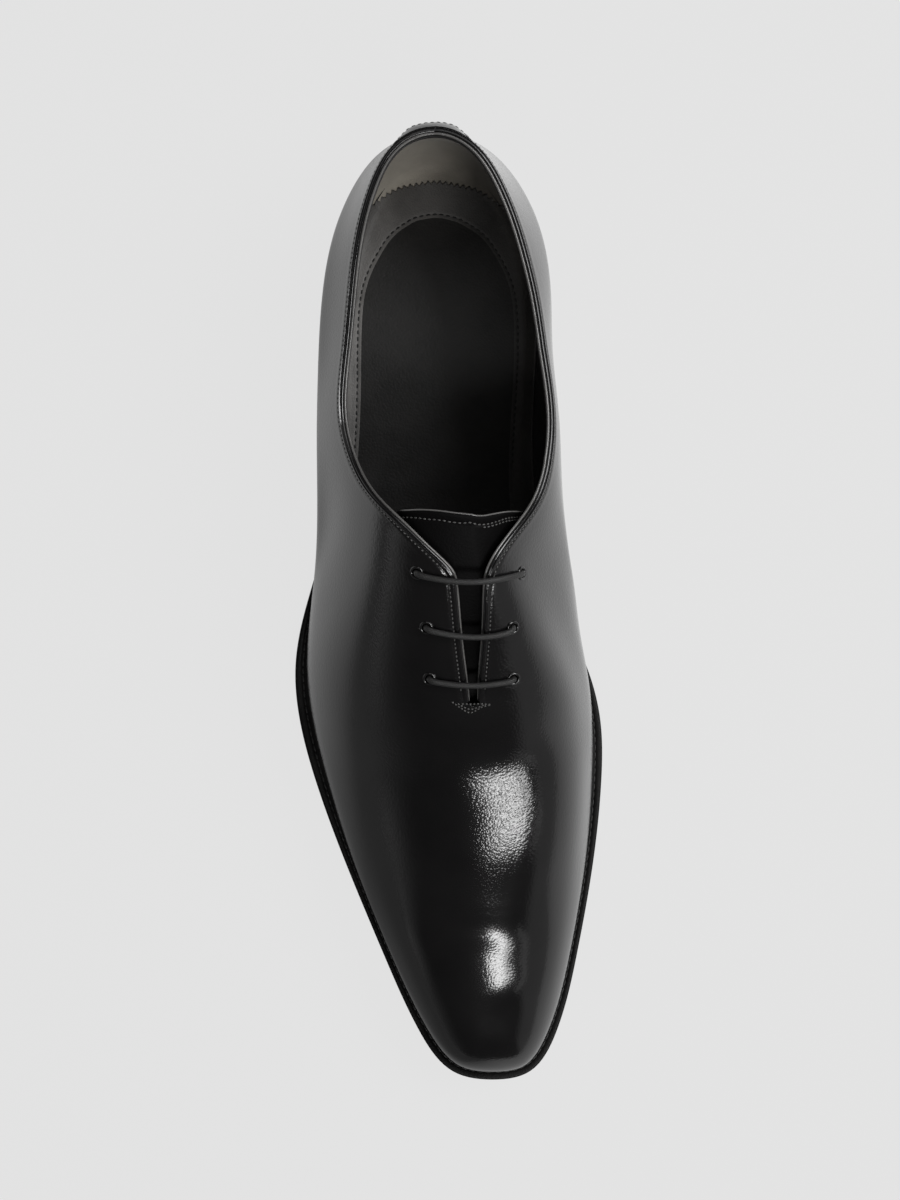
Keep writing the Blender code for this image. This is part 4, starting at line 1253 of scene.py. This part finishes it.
def sockGrid(side):
    heelFrom, ahead, behind = sock["columns"]
    shares = np.concatenate([np.linspace(sock["front"], heelFrom, ahead, endpoint=False),
                             np.linspace(heelFrom, 1, behind)])
    bases, tops = byShare(featherHalf[side], shares), spine(shares)
    edgeRun = runOf(bases)
    edgeRun = edgeRun[-1] - edgeRun
    grid = []
    for base, top, run in zip(bases, tops, edgeRun):
        reach = featherZ(base[1]) + sock["climb"]
        line, toWall = innerLine(side, base, top, sock["wallGap"], sock["lift"], reach)
        stitch = toWall - at(sockEdge, "stitch", base[1])
        end = toWall + at(sockEdge, "rise", base[1]) - sock["pinkDepth"] * zigzag(run)
        places = np.concatenate([np.linspace(0, stitch - sock["seamHalf"], sock["floorRows"]),
                                 stitch + np.array(sock["seamRows"]),
                                 np.linspace(stitch + sock["seamHalf"], end, sock["edgeRows"])])
        grid.append(byRun(line, places))
    return np.array(grid)


bm = bmesh.new()
sockSheet = roundTheBack({side: sockGrid(side) for side in sides})
sockUp = gridNormals(sockSheet, 1)
if sockUp[:, 2, 2].mean() < 0:
    sockUp = -sockUp
sockSeam = sock["floorRows"] + len(sock["seamRows"]) // 2
drop = sock["stitchDip"] * hill(np.arange(sockSheet.shape[1]) - sockSeam, 1.0)
sockSheet = sockSheet - sockUp * drop[None, :, None]
gridSheet(bm, sockSheet)
uvLayer = bm.loops.layers.uv.active
for sheetFace in bm.faces:  # outside its stitch row the sock is of the border's leather
    place = sum(loop[uvLayer].uv.y for loop in sheetFace.loops) / len(sheetFace.loops)
    sheetFace.material_index = 1 if place * (sockSheet.shape[1] - 1) > sockSeam - 3 else 0
sockPiece = pieceFrom(bm, "sock_lining", [sockLeather, sockBorder], merge=0.02)
faceUpwards(sockPiece)
thicken(sockPiece, sock["thickness"])

bm = bmesh.new()
keep = sockSheet[:, sockSeam, 1] > sock["stitchedFrom"]
sew(bm, sockSheet[keep, sockSeam], sockUp[keep, sockSeam], sock["thread"])
pieceFrom(bm, "sock_stitches", [sockThread], merge=0)
print("linings in")


# sole: welt, outsole, heel lifts and top piece
def ringSheet(bm, profile):
    # closed ring: profile holds (amount moved in from the sole's edge, height over the underside)
    loops = []
    for inn, lift in profile + profile[:1]:
        line = movedIn(edgeLine, inn)[::2]
        loops.append(np.column_stack([line, underside(line[:, 1]) + lift]))
    points = np.array(loops).transpose(1, 0, 2)
    gridSheet(bm, np.concatenate([points, points[:1]], axis=0))


weltShape = {"under": 1.9, "overlap": 0.02, "foot": [(0.35, 0.0), (0.1, 0.3), (0.0, 0.8)],  # moved in, height
             "round": 0.5, "roundCut": 0.3, "grooveDeep": 0.4, "grooveWide": 0.75, "grooveAt": 0.52,
             "grooveSide": (0.5, 0.6),  # share of the groove's width, share of its depth there
             "thread": {"pitch": 2.7, "long": 2.2, "wide": 0.62, "high": 0.5, "lift": -0.05},
             "stitched": {"lateral": 0.56, "medial": 0.50}}
low = shoe["outsole"] - weltShape["overlap"]
high = shoe["outsole"] + shoe["gap"] + shoe["welt"]
groove = weltWide * weltShape["grooveAt"]
wide, deep, corner = weltShape["grooveWide"], weltShape["grooveDeep"], weltShape["round"]
cut = weltShape["roundCut"] * corner
sideIn, sideDown = weltShape["grooveSide"]
bm = bmesh.new()
ringSheet(bm, [(inn, low + lift) for inn, lift in weltShape["foot"]]
          + [(0.0, high - corner), (cut, high - cut), (corner, high),
             (groove - wide, high), (groove - wide * sideIn, high - deep * sideDown), (groove, high - deep),
             (groove + wide * sideIn, high - deep * sideDown), (groove + wide, high),
             (weltWide + weltShape["under"], high), (weltWide + weltShape["under"], low)])
pieceFrom(bm, "welt_strip", [weltLeather], ["welt"])

bm = bmesh.new()
seamHalf = halves(movedIn(edgeLine, groove))
for side in sides:
    line = seamHalf[side]
    line = line[stationOf(line[:, 1]) < weltShape["stitched"][side]]
    path = np.column_stack([line, underside(line[:, 1]) + high - deep * sideDown])
    sew(bm, path, np.tile((0.0, 0.0, 1.0), (len(path), 1)), weltShape["thread"])
pieceFrom(bm, "welt_stitches", [weltThread], merge=0)


def rungs(outline, count, start=None):
    tip, back = outline[:, 1].min(), outline[:, 1].max()
    share = np.linspace(0, 1, count + 1)
    if start is None:
        y = tip + (back - tip) * (1 - np.cos(math.pi * share)) / 2
    else:
        y = start + (back - start) * np.sin(math.pi / 2 * share)
    half = halves(outline)
    return {side: np.column_stack([np.interp(y, half[side][:, 1], half[side][:, 0]), y]) for side in sides}


def slab(bm, levels, count, start=None):
    # closed loft through levels of (amount moved in, height), from the bottom up
    made = []
    for inn, height in levels:
        pair = rungs(movedIn(edgeLine, inn), count, start)
        made.append({s: np.column_stack([p, height(p[:, 1])]) for s, p in pair.items()})
    bottom, top = made[0], made[-1]
    steps = np.linspace(0, 1, 7)  # across the flat faces
    rows = [bottom["lateral"] + (bottom["medial"] - bottom["lateral"]) * t for t in steps]
    rows += [level["medial"] for level in made[1:]]
    rows += [top["medial"] + (top["lateral"] - top["medial"]) * t for t in steps[1:]]
    rows += [level["lateral"] for level in made[-2::-1]]
    closeSheet(bm, gridSheet(bm, np.array(rows).transpose(1, 0, 2)), 0.01)


def overSole(lift):
    return lambda y: underside(y) + lift


outsoleShape = {
    "proud": 0.25, "count": 170, "faceDown": -0.9, "topIn": 0.3,
    "bevel": [(1.0, 0.0), (0.62, 0.30), (0.25, 0.95)],  # share of the bevel, height over the underside
    "edge": [(0.05, 1.7), (0.0, 2.3)], "shoulder": [(0.0, 0.7), (0.12, 0.25)],  # moved in, height or depth
}
bevel = at(margin, "bevel", stationOf(edgeLine[:, 1]))
proud = -outsoleShape["proud"]
thick = shoe["outsole"]
bm = bmesh.new()
levels = [(bevel * share, overSole(lift)) for share, lift in outsoleShape["bevel"]]
levels += [(proud + inn, overSole(lift)) for inn, lift in outsoleShape["edge"]]
levels += [(proud + inn, overSole(thick - depth)) for inn, depth in outsoleShape["shoulder"]]
slab(bm, levels + [(outsoleShape["topIn"], overSole(thick))], outsoleShape["count"])
outsole = pieceFrom(bm, "leather_outsole", [soleEdgeInk, soleFace], ["outsole"], merge=0,
                    sharp=50)
for soleFacet in outsole.data.polygons:
    soleFacet.material_index = 1 if soleFacet.normal.z < outsoleShape["faceDown"] else 0

heelShape = {"count": 60, "lifts": (6.2, 10.6, 15.0, 19.4), "groove": 0.28, "lip": 0.35, "overlap": 0.02,
             "drawn": (3.0, 4.0)}  # heights over a lift's foot whose taper its upper lip and its top take


def level(z):
    return lambda y: np.full(np.shape(y), z)


def liftSlab(bm, z0, z1):
    # one lift, its edges eased so that the layers show
    def drawn(z):
        return 1 + shoe["heelTaper"] * (1 - z / shoe["heelHeight"])
    inn, lip = heelShape["groove"], heelShape["lip"]
    lipUp, topUp = heelShape["drawn"]
    top = z1 if callable(z1) else level(z1)
    slab(bm, [(drawn(z0) + inn, level(z0)), (drawn(z0 + lip), level(z0 + lip)),
              (drawn(z0 + lipUp), lambda y: top(y) - lip), (drawn(z0 + topUp) + inn, top)],
         heelShape["count"], along(shoe["breast"]))


bm = bmesh.new()
joints = list(heelShape["lifts"]) + [overSole(heelShape["overlap"])]
for z0, z1 in zip(joints, joints[1:]):
    layer = bmesh.new()
    liftSlab(layer, z0, z1)
    mesh = bpy.data.meshes.new("layer")
    layer.to_mesh(mesh)
    layer.free()
    bm.from_mesh(mesh)
    bpy.data.meshes.remove(mesh)
pieceFrom(bm, "heel_stack", [heelInk], ["heel_base"], merge=0, sharp=50)
bm = bmesh.new()
liftSlab(bm, 0.0, shoe["topPiece"])
pieceFrom(bm, "top_piece", [rubber], ["heel_top_piece"], merge=0, sharp=50)
frame["nodes"]["insole"].data.materials.clear()
frame["nodes"]["insole"].data.materials.append(lining)
print("sole and heel on")

# plain pale table: to the camera an even pale glow that shows almost no shadow; to other rays it glows unevenly,
# weaker to the left and towards the toe as a painted shadow of the shoe seen in its reflections, and stronger
# behind the heel
tableLook = {"size": 4.0, "seenShade": 0.03, "seenGlow": 0.742, "shade": 0.1,
             # light off the table to each side: ramp over X from -1 to 1 m, and its share towards the toe
             "glow": {"left": ([(0.37, 0.75), (0.41, 0.60), (0.45, 0.44), (0.48, 0.34), (0.515, 0.0)], 0.2),
                      "right": ([(0.485, 0.0), (0.515, 0.62), (0.535, 0.66), (0.70, 0.58)], 0.76)},
             "front": (-0.10, 0.0), "back": (0.13, 0.24, 1.7), "rough": 0.9}
bm = bmesh.new()
bmesh.ops.create_grid(bm, x_segments=8, y_segments=8, size=tableLook["size"])
mesh = bpy.data.meshes.new("table")
bm.to_mesh(mesh)
bm.free()
floor = bpy.data.objects.new("table", mesh)
bpy.context.scene.collection.objects.link(floor)
tableFinish, tree, shader = newFinish("pale table")
seen = addNode(tree, "ShaderNodeLightPath").outputs["Is Camera Ray"]
axes = axesOf(tree, "Object")
across = mapRange(tree, axes["X"], -1.0, 1.0, 0.0, 1.0)
glow = None
for stops, share in tableLook["glow"].values():
    front = mapRange(tree, axes["Y"], *tableLook["front"], share, 1.0)
    glow = mathNode(tree, "MULTIPLY_ADD", rampNode(tree, across, stops), front, 0.0 if glow is None else glow)
near, far, most = tableLook["back"]
glow = mathNode(tree, "MULTIPLY", glow, mapRange(tree, axes["Y"], near, far, 1.0, most))
glow = mathNode(tree, "MULTIPLY", glow, mathNode(tree, "SUBTRACT", 1.0, seen))
glow = mathNode(tree, "MULTIPLY_ADD", seen, tableLook["seenGlow"], glow)
tree.links.new(glow, shader.inputs["Emission Color"])
shade = mapRange(tree, seen, 0.0, 1.0, tableLook["shade"], tableLook["seenShade"])
tree.links.new(shade, shader.inputs["Base Color"])
shader.inputs["Roughness"].default_value = tableLook["rough"]
shader.inputs["Specular IOR Level"].default_value = 0.0
shader.inputs["Emission Strength"].default_value = 1.0
mesh.materials.append(tableFinish)

# dark room with a soft panel on each side
room = {  # each panel: way along X, shine, where it starts and is full, heights where it fades out
    "dark": 0.05,
    "panels": {"left": (-1, 0.80, 0.36, 0.80, 0.0, 0.36), "right": (1, 0.24, 0.42, 0.58, 0.58, 0.72)},
    "front": {"left": (-0.65, -0.1, 0.2)},  # from here to there along Y, and the share left towards the toe
}
world = bpy.data.worlds.new("studio")
bpy.context.scene.world = world
world.use_nodes = True
tree = world.node_tree
axes = axesOf(tree, "Generated")  # in a world these are the direction looked in
glow = None
for side, (way, shine, start, full, low, high) in room["panels"].items():
    under = mapRange(tree, axes["Z"], low, high, 1.0, 0.0)
    towards = mathNode(tree, "MULTIPLY", axes["X"], way)
    panel = mathNode(tree, "MULTIPLY", mapRange(tree, towards, start, full, 0.0, shine), under)
    if side in room["front"]:
        near, far, share = room["front"][side]
        panel = mathNode(tree, "MULTIPLY", panel, mapRange(tree, axes["Y"], near, far, share, 1.0))
    glow = mathNode(tree, "ADD", panel, room["dark"] if glow is None else glow)
tree.links.new(glow, tree.nodes["Background"].inputs["Strength"])
tree.nodes["Background"].inputs["Color"].default_value = (1, 1, 1, 1)

# windows of light: the spot each is seen in, its two ends as (turn, height), width in degrees, shine
spots = {"vamp": (0.0195, -0.059, 0.057), "toe": (0.0165, -0.107, 0.044), "quarter": (0.0, 0.05, 0.05)}
lamps = {
    "vampWindow": {"from": "vamp", "ends": ((-9.9, 49.6), (55, 55.1)), "wide": 6.0, "shine": 9.5},
    "vampSill": {"from": "vamp", "ends": ((-9.9, 45.2), (55, 50.7)), "wide": 2.8, "shine": 6.0},
    "vampLow": {"from": "vamp", "ends": ((26, 39), (64, 35)), "wide": 8.0, "shine": 0.4},
    "toeWindow": {"from": "toe", "ends": ((-9.0, 54.5), (17.0, 61.6)), "wide": 7.0, "shine": 8.0},
    "right": {"from": "quarter", "ends": ((78, 45), (135, 50)), "wide": 24.0, "shine": 8.0},
    "overhead": {"from": "quarter", "ends": ((130, 50), (215, 50)), "wide": 24.0, "shine": 1.3},
}
lampAway = 1.0  # metres from that spot


def skyWay(turn, height):
    # way to a place in the room: turn from the toe's end towards the medial side, height over the table
    turn, height = math.radians(turn), math.radians(height)
    return Vector((math.sin(turn) * math.cos(height), -math.cos(turn) * math.cos(height), math.sin(height)))


for name, lamp in lamps.items():
    first, second = (skyWay(*end) for end in lamp["ends"])
    middle = ((first + second) / 2).normalized()
    acrossWay = second - first - middle * (second - first).dot(middle)
    data = bpy.data.lights.new(name, "AREA")
    data.shape = "RECTANGLE"
    data.size = acrossWay.length * lampAway
    data.size_y = 2 * math.tan(math.radians(lamp["wide"] / 2)) * lampAway
    data.energy = lamp["shine"] * math.pi * data.size * data.size_y
    light = bpy.data.objects.new(name, data)
    acrossWay.normalize()
    turn = Matrix((acrossWay, middle.cross(acrossWay), middle)).transposed().to_4x4()
    light.matrix_world = Matrix.Translation(Vector(spots[lamp["from"]]) + middle * lampAway) @ turn
    bpy.context.scene.collection.objects.link(light)
bpy.context.scene.view_settings.view_transform = "Standard"
print("table, room and lamps set")
